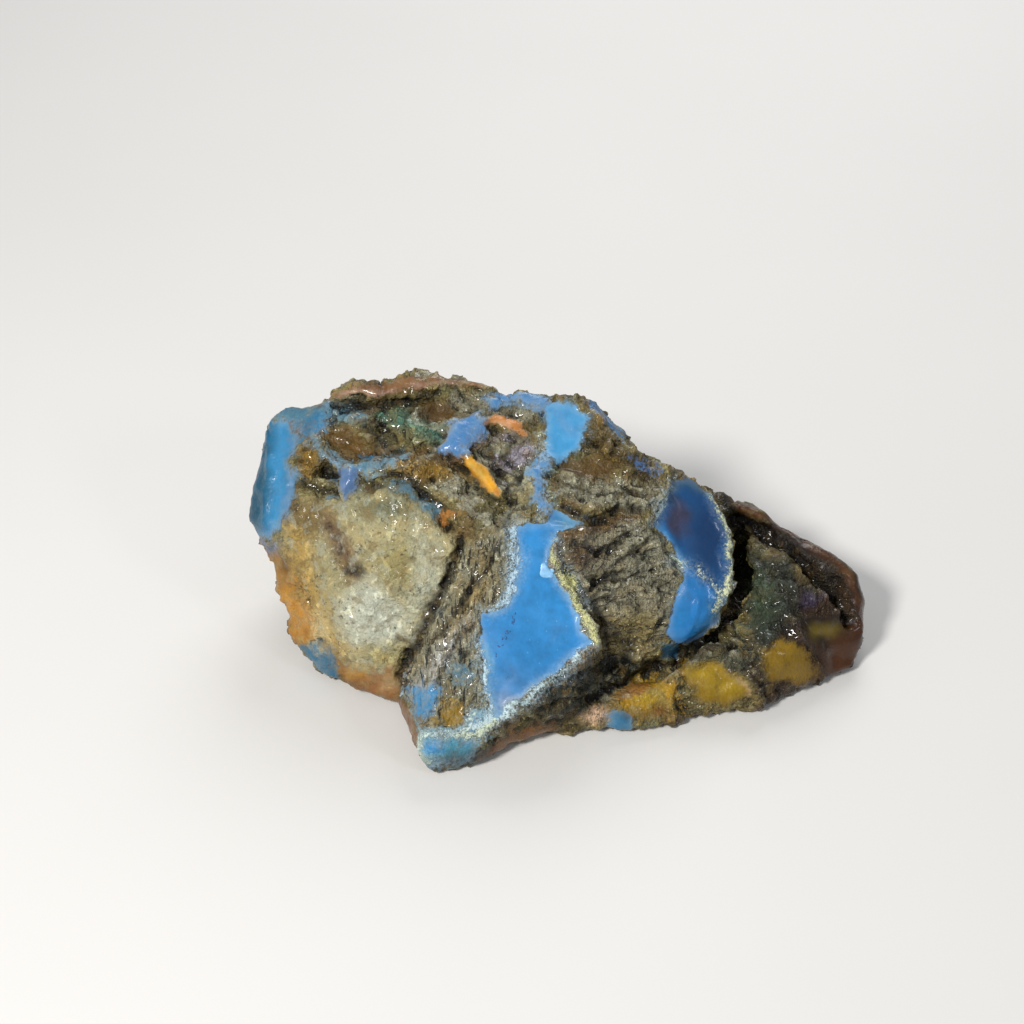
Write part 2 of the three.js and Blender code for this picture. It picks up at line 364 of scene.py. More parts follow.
        grit=0.15, soft=0.2, frost=0.7, turn=0.35, wander=2.4),
    "backChip": dict(
        plane="back", outline=[(-5, 15), (-1, 13), (2, 15.5), (1, 18.5), (-3, 18)], tone="rimBlue",
        clear=0.3, grit=0.35, soft=0.3, frost=0.7, turn=0.5, wander=2.2),
    "backHoney": dict(
        plane="back", outline=[(-17, 3), (-12, 1.5), (-7, 4), (-5, 8), (-8, 10), (-10.5, 7.4), (-14, 7.8)],
        tone="gold", clear=0.35, grit=0.4, soft=0.5, turn=0.4, wander=2.4),
    "backVein": dict(
        plane="back", line=[(15, 14, 0.3), (19, 16, 1.0), (24, 15, 0.4)], tone="tealBlue", clear=0.25,
        grit=0.5, soft=0.5, frost=0.5, turn=0.3, wander=2.0),
    "backEmber": dict(
        plane="back", outline=[(19.5, 2.5), (24, 1.8), (27, 4.2), (24.6, 6.6), (21.6, 5)], tone="umberGold",
        gloss=1.0, clear=0.4, grit=0.45, soft=0.3, turn=0.3, wander=2.2),
    "backTail": dict(
        plane="back", outline=[(-33, 1), (-26, 1), (-24, 6), (-29, 9), (-34, 6)], tone="amberDeep",
        clear=0.35, grit=0.35, soft=0.5, turn=0.45, wander=2.2),
}

# The deep groove to the right of the right window. It is all rind.
sideGroove = dict(
    line=[(19, 15.5, 0.3), (20, 11.5, 0.7), (20.3, 8, 0.75), (19.6, 4, 0.8), (16.7, 0.6, 0.6),
          (12.6, -1.4, 0.5), (8.4, -3, 0.5), (4, -5, 0.4)])

# Lighter, darker and warmer places inside the windows, a few of them painted shade or painted highlight as
# noted. clear is how see-through one makes its place.
glassShades = [
    # the left rim
    dict(line=[(-29.2, 24, 0.6), (-29.6, 20, 0.7), (-29.4, 16, 0.7), (-30, 13, 0.6)], tone="skyBlue",
         soft=0.7, turn=-0.6),
    dict(outline=[(-37, 29), (-31.6, 26.4), (-30.9, 21), (-31, 16), (-31.6, 11), (-37, 8)], tone="deepTeal",
         soft=0.6, turn=-0.8),
    dict(line=[(-33.2, 24, 0.3), (-33.6, 18, 0.4), (-33, 12, 0.3)], tone="deepMoss", soft=0.8, turn=-0.8),
    dict(line=[(-28.4, 22, 0.3), (-28, 18.5, 0.4), (-28.9, 14, 0.3)], tone="mistBlue", soft=0.4, turn=-0.6),
    dict(outline=[(-31, 27.6), (-27, 28.4), (-24.4, 25.4), (-27, 23.9), (-30.4, 24.6)], tone="slateTeal",
         soft=0.6, turn=-0.6),
    dict(line=[(-30.6, 26.6, 0.3), (-27.6, 27.4, 0.5), (-25.2, 25.8, 0.4)], tone="umberGold", soft=0.5,
         turn=-0.6),
    # edges of the big window
    dict(line=[(-4, 12.4, 0.1), (-3.8, 8, 0.2), (-4.2, 6, 0.2), (-6.4, 4, 0.1)], tone="paleBlue", soft=0.5),
    dict(line=[(0, 11, 0.1), (0.2, 8.4, 0.3), (1.4, 6, 0.3), (3, 2.6, 0.3)], tone="seaMilk", soft=0.6),
    dict(line=[(-7.2, 0.6, 0.2), (-6.8, -3, 0.2), (-6.6, -6, 0.4)], tone="seaMilk", soft=0.6),
    # the rim's foot, the crest vein, the blob and the top patch
    dict(spot=(-30.4, 11.3, 1.4, 1.2), tone="dustBlue", soft=0.8),
    # the crest vein's pale line is partly its own pale blue and partly painted highlight for its glints
    dict(line=[(-24, 20.4, 0.1), (-22.6, 19.3, 0.25), (-20.4, 18.8, 0.2)], tone="mistBlue", soft=0.4),
    dict(line=[(-8, 24, 0.2), (-8.6, 22.6, 0.3)], tone="mistBlue", soft=0.6),
    dict(line=[(0, 25.4, 0.3), (1.6, 23, 0.4)], tone="mistBlue", soft=1.0),
    # the ends of the big window
    dict(spot=(-4, -3.8, 3, 2.4), tone="dustBlue", soft=1.6),
    dict(spot=(-4.2, -5.2, 1.6, 0.8), tone="pinkDust", soft=0.9),
    dict(spot=(1.8, 13.5, 2.0, 1.0), tone="dustTeal", soft=0.7),
    # the nose; the slate grey along its underside is painted shade
    dict(line=[(-14.4, -11.2, 0.6), (-11, -11.8, 1.1), (-8, -10.2, 1.0)], tone="slateGrey", soft=0.9,
         turn=-0.5),
    dict(spot=(-12.6, -9.3, 1.0, 0.8), tone="brightBlue", soft=0.7),
    dict(spot=(-9.4, -8.9, 1.0, 0.5), tone="tealBlue", soft=0.6),
    dict(line=[(-14, -8.6, 0.1), (-13.8, -10, 0.15), (-13, -10.9, 0.1)], tone="cream", soft=0.4),
    dict(spot=(-8.2, -7.2, 0.8, 0.6), tone="dustBlue", soft=0.5),
    # the middle of the big window
    dict(spot=(-2.5, 10.5, 1.5, 3.5), tone="brightBlue", soft=1.2),
    dict(spot=(-0.5, 4.5, 3.0, 3.0), tone="brightBlue", soft=2.0),
    # the right window: bright below, dark above, and a veil over its flake
    dict(outline=[(12.2, 8.4), (14, 8.6), (16.2, 6.6), (17.6, 5), (16.2, 2.4), (13, 0.4), (11, 1.6),
         (12, 5)], tone="vividBlue", clear=0.15, soft=0.5),
    dict(outline=[(10, 13), (11.4, 13.4), (12.8, 10.8), (14, 9), (12.6, 8.2), (11.2, 10.8)],
         tone="brightBlue", clear=0.2, soft=0.5),
    dict(spot=(16, 12, 1.9, 3.6), tone="nightBlue", soft=1.4),
    dict(spot=(13, 13.8, 1.1, 1.8), tone="flakeVeil", clear=0.8, soft=0.4),
    dict(line=[(13, 5.8, 0.5), (12.8, 2, 0.7)], tone="brightBlue", soft=0.8),
    dict(line=[(17.6, 6.4, 0.3), (16.6, 3.8, 0.5), (15, 1.7, 0.4)], tone="deepTeal", soft=0.9),
    dict(line=[(11.6, 16.6, 0.3), (14, 17.8, 0.3), (17, 16, 0.2)], tone="slateTeal", soft=0.6),
    # the tail, in tones darkened as painted shade
    dict(spot=(29, 1.6, 1.7, 0.9), tone="oliveGold", soft=0.8),
    dict(spot=(30.8, -1.4, 3.2, 2.6), tone="emberDeep", soft=1.4),
    dict(spot=(28.9, 0.6, 0.8, 0.8), tone="umberDeep", soft=0.6),
    dict(line=[(33.4, 4, 0.5), (30.5, 9.2, 0.5), (26, 12.4, 0.4), (20, 15.4, 0.3)], tone="emberRim",
         soft=0.8, turn=-0.5),
    # the yellow patches
    dict(spot=(18.4, -4, 1.8, 0.8), tone="lemonDull", soft=0.8),
    dict(spot=(15.5, -2.6, 1.4, 0.7), tone="lemonDull", soft=0.8),
    # a painted highlight along the middle patch's lower right edge
    dict(line=[(19.2, -3.1, 0.1), (20.2, -4.2, 0.2), (20.4, -5.2, 0.1)], tone="paintedPinkHighlight", soft=0.4),
    dict(line=[(13.6, -4.6, 0.2), (15.6, -6, 0.3), (18, -6.8, 0.3), (21, -5.4, 0.2)], tone="umberGold",
         soft=0.6),
    dict(line=[(22, -3.4, 0.2), (25.4, -4.2, 0.3), (28.4, -3.2, 0.2)], tone="umberGold", soft=0.6),
    dict(line=[(7, -7, 0.2), (10, -7, 0.3), (13, -6.4, 0.2)], tone="umberGold", soft=0.7),
    dict(spot=(9.6, -4.4, 1.8, 1.2), tone="lemonDull", soft=0.9),
    dict(spot=(12.2, -2.6, 0.9, 0.9), tone="emberDull", soft=0.5),
    dict(spot=(10.9, -6.3, 0.9, 0.7), tone="emberDull", soft=0.6),
    # the crest: rose lines of painted highlight along the crest strip
    dict(line=[(-23, 26.9, 0.2), (-19.5, 27.2, 0.3), (-17, 27.4, 0.1)], tone="paintedRoseHighlight", soft=0.4),
    dict(line=[(-15, 28, 0.1), (-12.5, 28, 0.25), (-10.5, 28, 0.1)], tone="paintedRoseHighlight", soft=0.4),
    dict(line=[(-14, 28.9, 0.4), (-10, 28.9, 0.4)], tone="umberGold", soft=0.9),
    # the sliver and the arc
    dict(spot=(-6.1, 16.3, 0.7, 0.7), tone="emberBright", soft=0.5),
    # a painted highlight along the arc's lower side
    dict(line=[(-6.8, 23.7, 0.05), (-5.4, 23.6, 0.15), (-4, 22.9, 0.05)], tone="paintedPinkHighlight", soft=0.3),
    dict(line=[(-9, 19.7, 0.05), (-8, 18.7, 0.15), (-7.2, 17.8, 0.05)], tone="lemonPale", soft=0.25),
    dict(line=[(-9.4, 19.2, 0.1), (-8.4, 17.8, 0.15), (-7.3, 16.6, 0.1)], tone="emberBright", soft=0.3),
    # the honey on the left
    dict(spot=(-29.5, 4, 1.6, 2.6), tone="amberGold", soft=1.0),
    dict(spot=(-17.6, -3.8, 0.9, 0.7), tone="peach", soft=0.6),
    dict(spot=(-21.4, -2.6, 1.2, 0.7), tone="amberGold", soft=0.6),
    # the back, the end and one more on the left
    dict(plane="back", outline=[(9, 4), (14, 5), (17, 8), (12, 9)], tone="brightBlue", soft=0.6),
    dict(plane="back", spot=(4.5, 6, 2.5, 2), tone="deepTeal", soft=1.0),
    dict(plane="back", line=[(8, 9, 0.4), (9.5, 13, 0.5)], tone="dustTeal", soft=0.6),
    dict(plane="back", spot=(-8, 7, 2, 1.5), tone="ember", soft=1.0),
    dict(plane="back", spot=(-14, 4, 2, 1.5), tone="umberDeep", soft=1.0),
    dict(plane="back", spot=(22.6, 4, 1.5, 1.1), tone="amberGold", soft=1.2),
    dict(plane="end", spot=(-3, -7.5, 2.6, 1.2), tone="emberDeep", soft=1.0),
    dict(plane="end", spot=(2, -6, 1.5, 1.2), tone="amberDeep", soft=0.8),
    dict(spot=(-28.8, 9, 1.0, 1.6), tone="umberGold", soft=0.8),
]

# The rind's zones are painted in order, the later over the earlier; a few are painted shade or painted
# highlight, as noted.
rindMarks = {
    # the crest
    "topTeal": dict(
        line=[(-18.5, 24.6, 0.9), (-15.5, 24.2, 1.2), (-12, 22.6, 1.1)], tone="mossTeal", soft=0.9),
    "topSlate": dict(
        line=[(-25, 25.2, 0.8), (-22, 25.2, 0.8), (-20.5, 24.6, 0.6)], tone="slateTeal", soft=0.9),
    "midBrown": dict(
        outline=[(-17, 20.3), (-12.5, 21.4), (-8.5, 19.8), (-7.5, 17.5), (-11, 17.2), (-15, 18.4)],
        tone="rustBrown", soft=0.8),
    "orangeGrains": dict(
        line=[(-16.5, 19.3, 0.9), (-13, 18.8, 1.1), (-9.5, 18.3, 0.7)], tone="amberBrown", soft=0.9),
    "topDark": dict(line=[(-20, 23.4, 0.6), (-18.3, 21.7, 0.9), (-16.8, 20.6, 0.6)], tone="soot", soft=0.9),
    "topAsh": dict(line=[(-10.5, 26.2, 0.9), (-8, 26.4, 0.7)], tone="ash", soft=0.6),
    "brinkAsh": dict(spot=(-4.2, 25, 2.6, 1.0), tone="ash", soft=0.7),
    "knob": dict(spot=(-26.4, 20, 1.2, 1.9), tone="amberBrown", soft=0.7),
    # the olive face
    "oliveFace": dict(
        outline=[(-28.6, 14.5), (-25, 16), (-21, 16.4), (-17.5, 17), (-14, 15.2), (-11.6, 12.8),
        (-10.2, 11.2), (-11, 8.6), (-12.4, 5.8), (-13.8, 2.5), (-15.8, 0), (-17, -3.4), (-20, -3),
        (-22.5, -2.6), (-24.8, 0), (-25.6, 4), (-27.5, 7), (-29, 11)], tone="khaki", soft=0.8),
    "oliveTop": dict(spot=(-18, 13, 4.5, 2.4), tone="khakiLight", soft=1.6),
    "olivePale": dict(spot=(-19.2, 3.4, 3.6, 3.8), tone="palestOlive", soft=1.8),
    "oliveRightPale": dict(spot=(-13.8, 7.5, 1.8, 4), tone="ashOlive", soft=1.5),
    "oliveGold": dict(spot=(-16.6, 8.6, 1.6, 2.6), tone="tanOlive", soft=1.6),
    "oliveLowGold": dict(spot=(-18, -0.6, 2.2, 1.2), tone="tanOlive", soft=1.2),
    "oliveStain": dict(
        line=[(-27.2, 12.5, 1.0), (-27, 8, 1.4), (-25.2, 3, 1.4), (-23.6, -0.5, 1.2)], tone="goldTan",
        soft=1.5),
    "oliveLowPale": dict(spot=(-25.4, 1.6, 1.4, 2.2), tone="sandPale", soft=1.2),
    "oliveBrown": dict(spot=(-26, 14, 2.6, 1.6), tone="tanDark", soft=1.3),
    "oliveDusk": dict(spot=(-17.4, 14.8, 2.8, 1.2), tone="greenGrey", soft=1.6),
    "oliveHollow": dict(
        line=[(-24, 13.4, 0.7), (-22.6, 10.8, 1.1), (-21.2, 8, 0.7)], tone="mauveBrown", soft=0.9),
    "oliveHollowEnd": dict(spot=(-20.9, 8.2, 0.9, 0.5), tone="soot", soft=0.6),
    "leftCorner": dict(line=[(-28.3, 17, 0.8), (-28.3, 14, 0.7)], tone="cinnamon", soft=0.8),
    "upperOlive": dict(spot=(-9.5, 16.8, 2.6, 1.2), tone="khaki", soft=0.8),
    "upperOliveRight": dict(spot=(-3.6, 17.4, 1.6, 1.9), tone="khaki", soft=0.7),
    # the sheet-like band left of the big window
    "foliatedBand": dict(
        outline=[(-9.5, 11), (-5, 13), (-4.5, 6), (-8, 4), (-8, -7), (-13, -7), (-16.5, -4), (-13.5, 2.5),
        (-12, 5.5)], tone="bandGrey", soft=0.4),
    "bandWarm": dict(line=[(-6.8, 10, 0.6), (-8.5, 6, 1.0), (-10.8, 1.5, 0.9)], tone="tan", soft=0.9),
    "bandAsh": dict(line=[(-9.2, 3, 0.6), (-12, -1, 0.9), (-13.8, -3.5, 0.7)], tone="bandPale", soft=0.9),
    "bandTop": dict(spot=(-6.6, 10.5, 1.2, 1.6), tone="ash", soft=0.8),
    # right of the big window
    "rightRind": dict(
        outline=[(0, 12), (8.5, 14), (10, 12), (13, 8), (12, 2), (9, -1), (5, -1), (2, 5), (0, 8)],
        tone="stoneGrey", soft=0.6),
    "rightRust": dict(line=[(0, 11.6, 0.5), (3, 12.6, 0.8), (8.5, 14.2, 0.4)], tone="rust", soft=0.6),
    "rightBrown": dict(spot=(2.4, 9.8, 1.8, 1.4), tone="rustDark", soft=1.0),
    "rightAsh": dict(spot=(9.3, 9.5, 2.2, 2.6), tone="ash", soft=1.2),
    "rightLow": dict(
        outline=[(3.5, 3.5), (9, 4.5), (11.5, 3), (10, -1), (5, -1)], tone="crustOlive", soft=1.2),
    "upperRind": dict(
        outline=[(0, 18), (3, 18.4), (7, 18), (11, 17), (10.5, 15), (8.5, 14.5), (3, 15), (0.5, 16)],
        tone="ash", soft=0.5),
    "shoulderBrown": dict(
        line=[(3.5, 22.5, 1.2), (6, 20.5, 1.2), (9.5, 18.4, 0.7)], tone="umber", soft=1.0),
    "greyKnob": dict(spot=(-4.8, 20.6, 2.2, 1.9), tone="lilacGrey", soft=0.8),
    # the tail, its tones darker than the rind's own as painted shade
    "tailHump": dict(outline=[(20, 11), (25, 9), (28, 5), (26, 2), (21, -1)], tone="tailGreen", soft=1.0),
    "tailOlive": dict(spot=(21.5, 5.5, 2.0, 3.0), tone="tailOlive", soft=1.4),
    "tailRust": dict(line=[(26.5, 6.5, 0.5), (25.5, 3, 0.8), (24, 0.5, 0.6)], tone="umberDeep", soft=1.2),
    "tailPlum": dict(spot=(27.7, 4.3, 1.8, 1.5), tone="plum", soft=0.8),
    "tailLow": dict(line=[(21, -1.5, 0.8), (25, 1, 0.9), (28, -3.5, 0.8)], tone="umberDeep", soft=1.0),
    "tailWall": dict(line=[(20, 13.8, 0.8), (25, 11.2, 1.5), (31, 6, 1.1)], tone="shadedWallBrown", soft=0.7),
    "tailUnder": dict(
        outline=[(26, 4), (33, 8), (37, 8), (37, -9), (14, -10), (22, -6.4)], tone="tailBrown", soft=0.8,
        turn=-0.6),
    # the toe, and the hollow under the big window
    "shelf": dict(
        outline=[(12.4, -0.4), (16, 0.8), (21.4, 1.2), (22, -1.4), (19.6, -2.8), (16.4, -1.4),
        (12.8, -1.4)], tone="shelfMoss", soft=0.7),
    "shelfGap": dict(
        line=[(20.4, -1.6, 0.4), (21.4, -4, 0.6), (22.6, -5.6, 0.5)], tone="umberDeep", soft=0.6),
    # a painted highlight beside the toe
    "toePaintedHighlight": dict(spot=(4, -6.8, 1.3, 0.7), tone="paintedPinkHighlight", soft=0.6),
    "tailBelow": dict(
        line=[(12, -7.5, 0.8), (18, -8, 1.0), (25, -6, 0.8), (31, -5, 0.6)], tone="umberDeep", soft=0.8),
    # the hollow's dark green-black is painted shade on the cliff face under the big window, over the rind's
    # greenish tone
    "hollowPaintedShade": dict(
        outline=[(-4, -5.6), (0, -2.6), (3.8, -0.2), (8, -1.2), (12, -1.4), (6, -5), (0, -7.5)],
        tone="deepMoss", soft=0.6),
    "hollowSlate": dict(spot=(1.8, -2.6, 1.5, 0.6), tone="slateGrey", soft=0.8),
    # the back, then under the nose
    "backOlive": dict(
        plane="back", outline=[(15, 2), (21, 1), (28, 5), (30, 12), (25, 17), (19, 13), (17, 8)],
        tone="khaki", soft=1.0, turn=0.2, wander=2.5),
    "backPale": dict(plane="back", spot=(23, 10, 3.2, 3.0), tone="ashOlive", soft=1.6, turn=0.2, wander=2),
    "backStone": dict(
        plane="back", outline=[(-22, 1), (-8, 1), (1, 4), (3, 11), (-2, 15), (-10, 14), (-18, 10)],
        tone="stoneGrey", soft=1.0, turn=0.2, wander=2.5),
    "backGold": dict(
        plane="back", line=[(-4, 3, 0.8), (0, 9, 1.4), (4, 16, 0.9)], tone="tan", soft=1.2, wander=2.2),
    "backAsh": dict(
        plane="back", outline=[(3, 15), (9, 17), (16, 20), (12, 24), (4, 22)], tone="ash", soft=0.9,
        wander=2.5),
    "backBrown": dict(
        plane="back", line=[(11, 2, 1.0), (16, 12, 1.2), (20, 19, 0.7)], tone="rustDark", soft=1.2,
        wander=2.4),
    # under the nose: a dark line of painted shade
    "chin": dict(
        line=[(-13, -11.8, 0.8), (-8, -10.5, 0.8), (-3, -8.2, 0.6), (2, -6, 0.6)], tone="soot", soft=0.8),
}

# Named finishes, as web colours.
palette = {
    # rind
    "rind": "736b44", "khaki": "97906c", "khakiLight": "a49c76", "ashOlive": "a9ab95",
    "palestOlive": "b2b5a3", "tan": "8c7c54", "goldTan": "a08446", "tanOlive": "90875a",
    "tanDark": "75643f", "sandPale": "bcab7c", "stoneGrey": "84806a", "ash": "86846f", "bandGrey": "82806a",
    "bandPale": "a2a4a0", "crustOlive": "7c7048",
    # browns of the rind; the tail's browns are darkened as painted shade
    "cinnamon": "6b5634", "rust": "594428", "rustDark": "50402a", "rustBrown": "644a28", "umber": "4a3e22",
    "umberDeep": "24180c", "amberBrown": "7e6226", "mauveBrown": "6e5a44", "shadedWallBrown": "1c140c",
    "tailBrown": "302010", "heelBrown": "8c5c2a", "crestBrown": "90643f",
    # darks and greens of the rind; the tail's greens are darkened as painted shade
    "soot": "2c2a20", "ink": "12100c", "speck": "1b1914", "deepMoss": "26291f", "greenGrey": "565c48",
    "tailGreen": "2a2e27", "tailOlive": "34402f", "shelfMoss": "454636", "mossTeal": "4a7060",
    "plum": "352c45", "lilacGrey": "8f8a96", "slateGrey": "3e4a50",
    # blue amber
    "milkBlue": "2c89cd", "brightBlue": "3394da", "vividBlue": "2a8cd8", "skyBlue": "48a4de",
    "deepBlue": "1c6cb4", "nightBlue": "134a88", "dustBlue": "4486c0", "blobBlue": "5590cc",
    "rimBlue": "2c80ae", "toothBlue": "527ab0", "noseBlue": "3c8cc0", "paleBlue": "6aa6cf",
    "mistBlue": "6a9ccb", "curlBlue": "86b8de", "deepSpeck": "2a5688",
    # teal amber
    "tealBlue": "2f7ca6", "deepTeal": "1f566e", "dustTeal": "4d90b4", "heelTeal": "357a9e",
    "slateTeal": "557f92", "seaGreen": "4c98b0", "seaMilk": "7fb4c8",
    # gold and brown amber; the tail's deep amber, ember and rim tones are darkened as painted shade
    "honey": "bc8430", "amberGold": "cc9438", "gold": "b48a1c", "mustard": "94740e", "ochre": "9a7a26",
    "oliveGold": "7c6a1e", "lemon": "eeaa1c", "lemonDull": "b8981e", "lemonPale": "f6dc78",
    "coral": "d4883c", "ember": "9a6430", "emberBright": "bc7a2c", "emberDull": "7a5024",
    "emberRim": "623a1c", "emberDeep": "4c280a", "amberDeep": "1a0d05", "umberGold": "5c4216",
    "mossGold": "74582a", "peach": "ae8c5e",
    # chalk and pale stains, with the pink and rose of painted highlights
    "chalk": "bcd8e8", "cream": "dcdca0", "paintedPinkHighlight": "dcb898", "pinkDust": "9aa4b8", "paintedRoseHighlight": "c4a090",
    "flakeVeil": "6a6484", "flakeBrown": "8a7688",
}


def linearColour(name):
    code = palette[name]
    parts = [int(code[place:place + 2], 16) / 255 for place in (0, 2, 4)]
    return [part / 12.92 if part <= 0.04045 else ((part + 0.055) / 1.055) ** 2.4 for part in parts]


# Chalk gathers along these lines, which are (x, v, half width) again.
chalkMarks = [
    # round the big window
    dict(line=[(-4.4, 13, 0.35), (-4.3, 10, 0.45), (-4.6, 6.8, 0.4), (-5.6, 4.9, 0.3), (-7.5, 4.3, 0.12)],
         cream=0),
    dict(line=[(-8, 1, 0.12), (-7.4, -1.6, 0.35), (-7.3, -4, 0.28), (-7, -7, 0.4)], cream=0.1),
    dict(line=[(3.2, 0.6, 0.1), (0, -2, 0.2), (-3, -4.6, 0.32), (-6, -6.6, 0.32), (-8.5, -7.3, 0.4)],
         cream=0.2),
    dict(line=[(-0.5, 11.7, 0.02), (-0.5, 9.5, 0.12), (0.5, 8.2, 0.3), (1.1, 7, 0.6), (1.8, 5.6, 0.22),
         (3, 3.6, 0.55), (4.1, 1.4, 0.4)], cream=1, turn=0.25, above=13.3),
    # the nose
    dict(line=[(-13.7, -8, 0.1), (-11, -8.4, 0.15), (-9.6, -8.1, 0.28), (-8.6, -6.6, 0.25)], cream=0.35),
    dict(line=[(-14, -8.4, 0.1), (-13.9, -10, 0.16), (-12.8, -11, 0.1)], cream=0.4),
    dict(line=[(-10, -8.3, 0.2), (-8, -8, 0.35), (-6.5, -6.8, 0.4)], cream=0.6),
    # round the right window
    dict(line=[(16.6, 16.6, 0.1), (18.3, 12.6, 0.2), (18.7, 9, 0.25), (18, 6, 0.4), (16.9, 4.2, 0.3)],
         cream=0.8, turn=0.25, above=4),
    dict(line=[(12.3, 9.2, 0.2), (15, 8.2, 0.08), (17.5, 6, 0.15)], cream=0.5),
    dict(line=[(10.6, 13.6, 0.1), (11.2, 15.5, 0.2), (12, 17.2, 0.1)], cream=0.2),
    # the back
    dict(plane="back", line=[(0.5, 5, 0.1), (4, 2.8, 0.35), (8.5, 3.4, 0.3), (10.5, 5.6, 0.2)], cream=0.6,
         wander=2.4),
    dict(plane="back", line=[(17, 8.2, 0.2), (13, 9.6, 0.35), (11.2, 13, 0.15)], cream=0.1, wander=2.4),
    dict(plane="back", line=[(-1, 12.8, 0.1), (2.2, 15.5, 0.3), (1, 18.8, 0.15)], cream=0.9, wander=2.2),
]
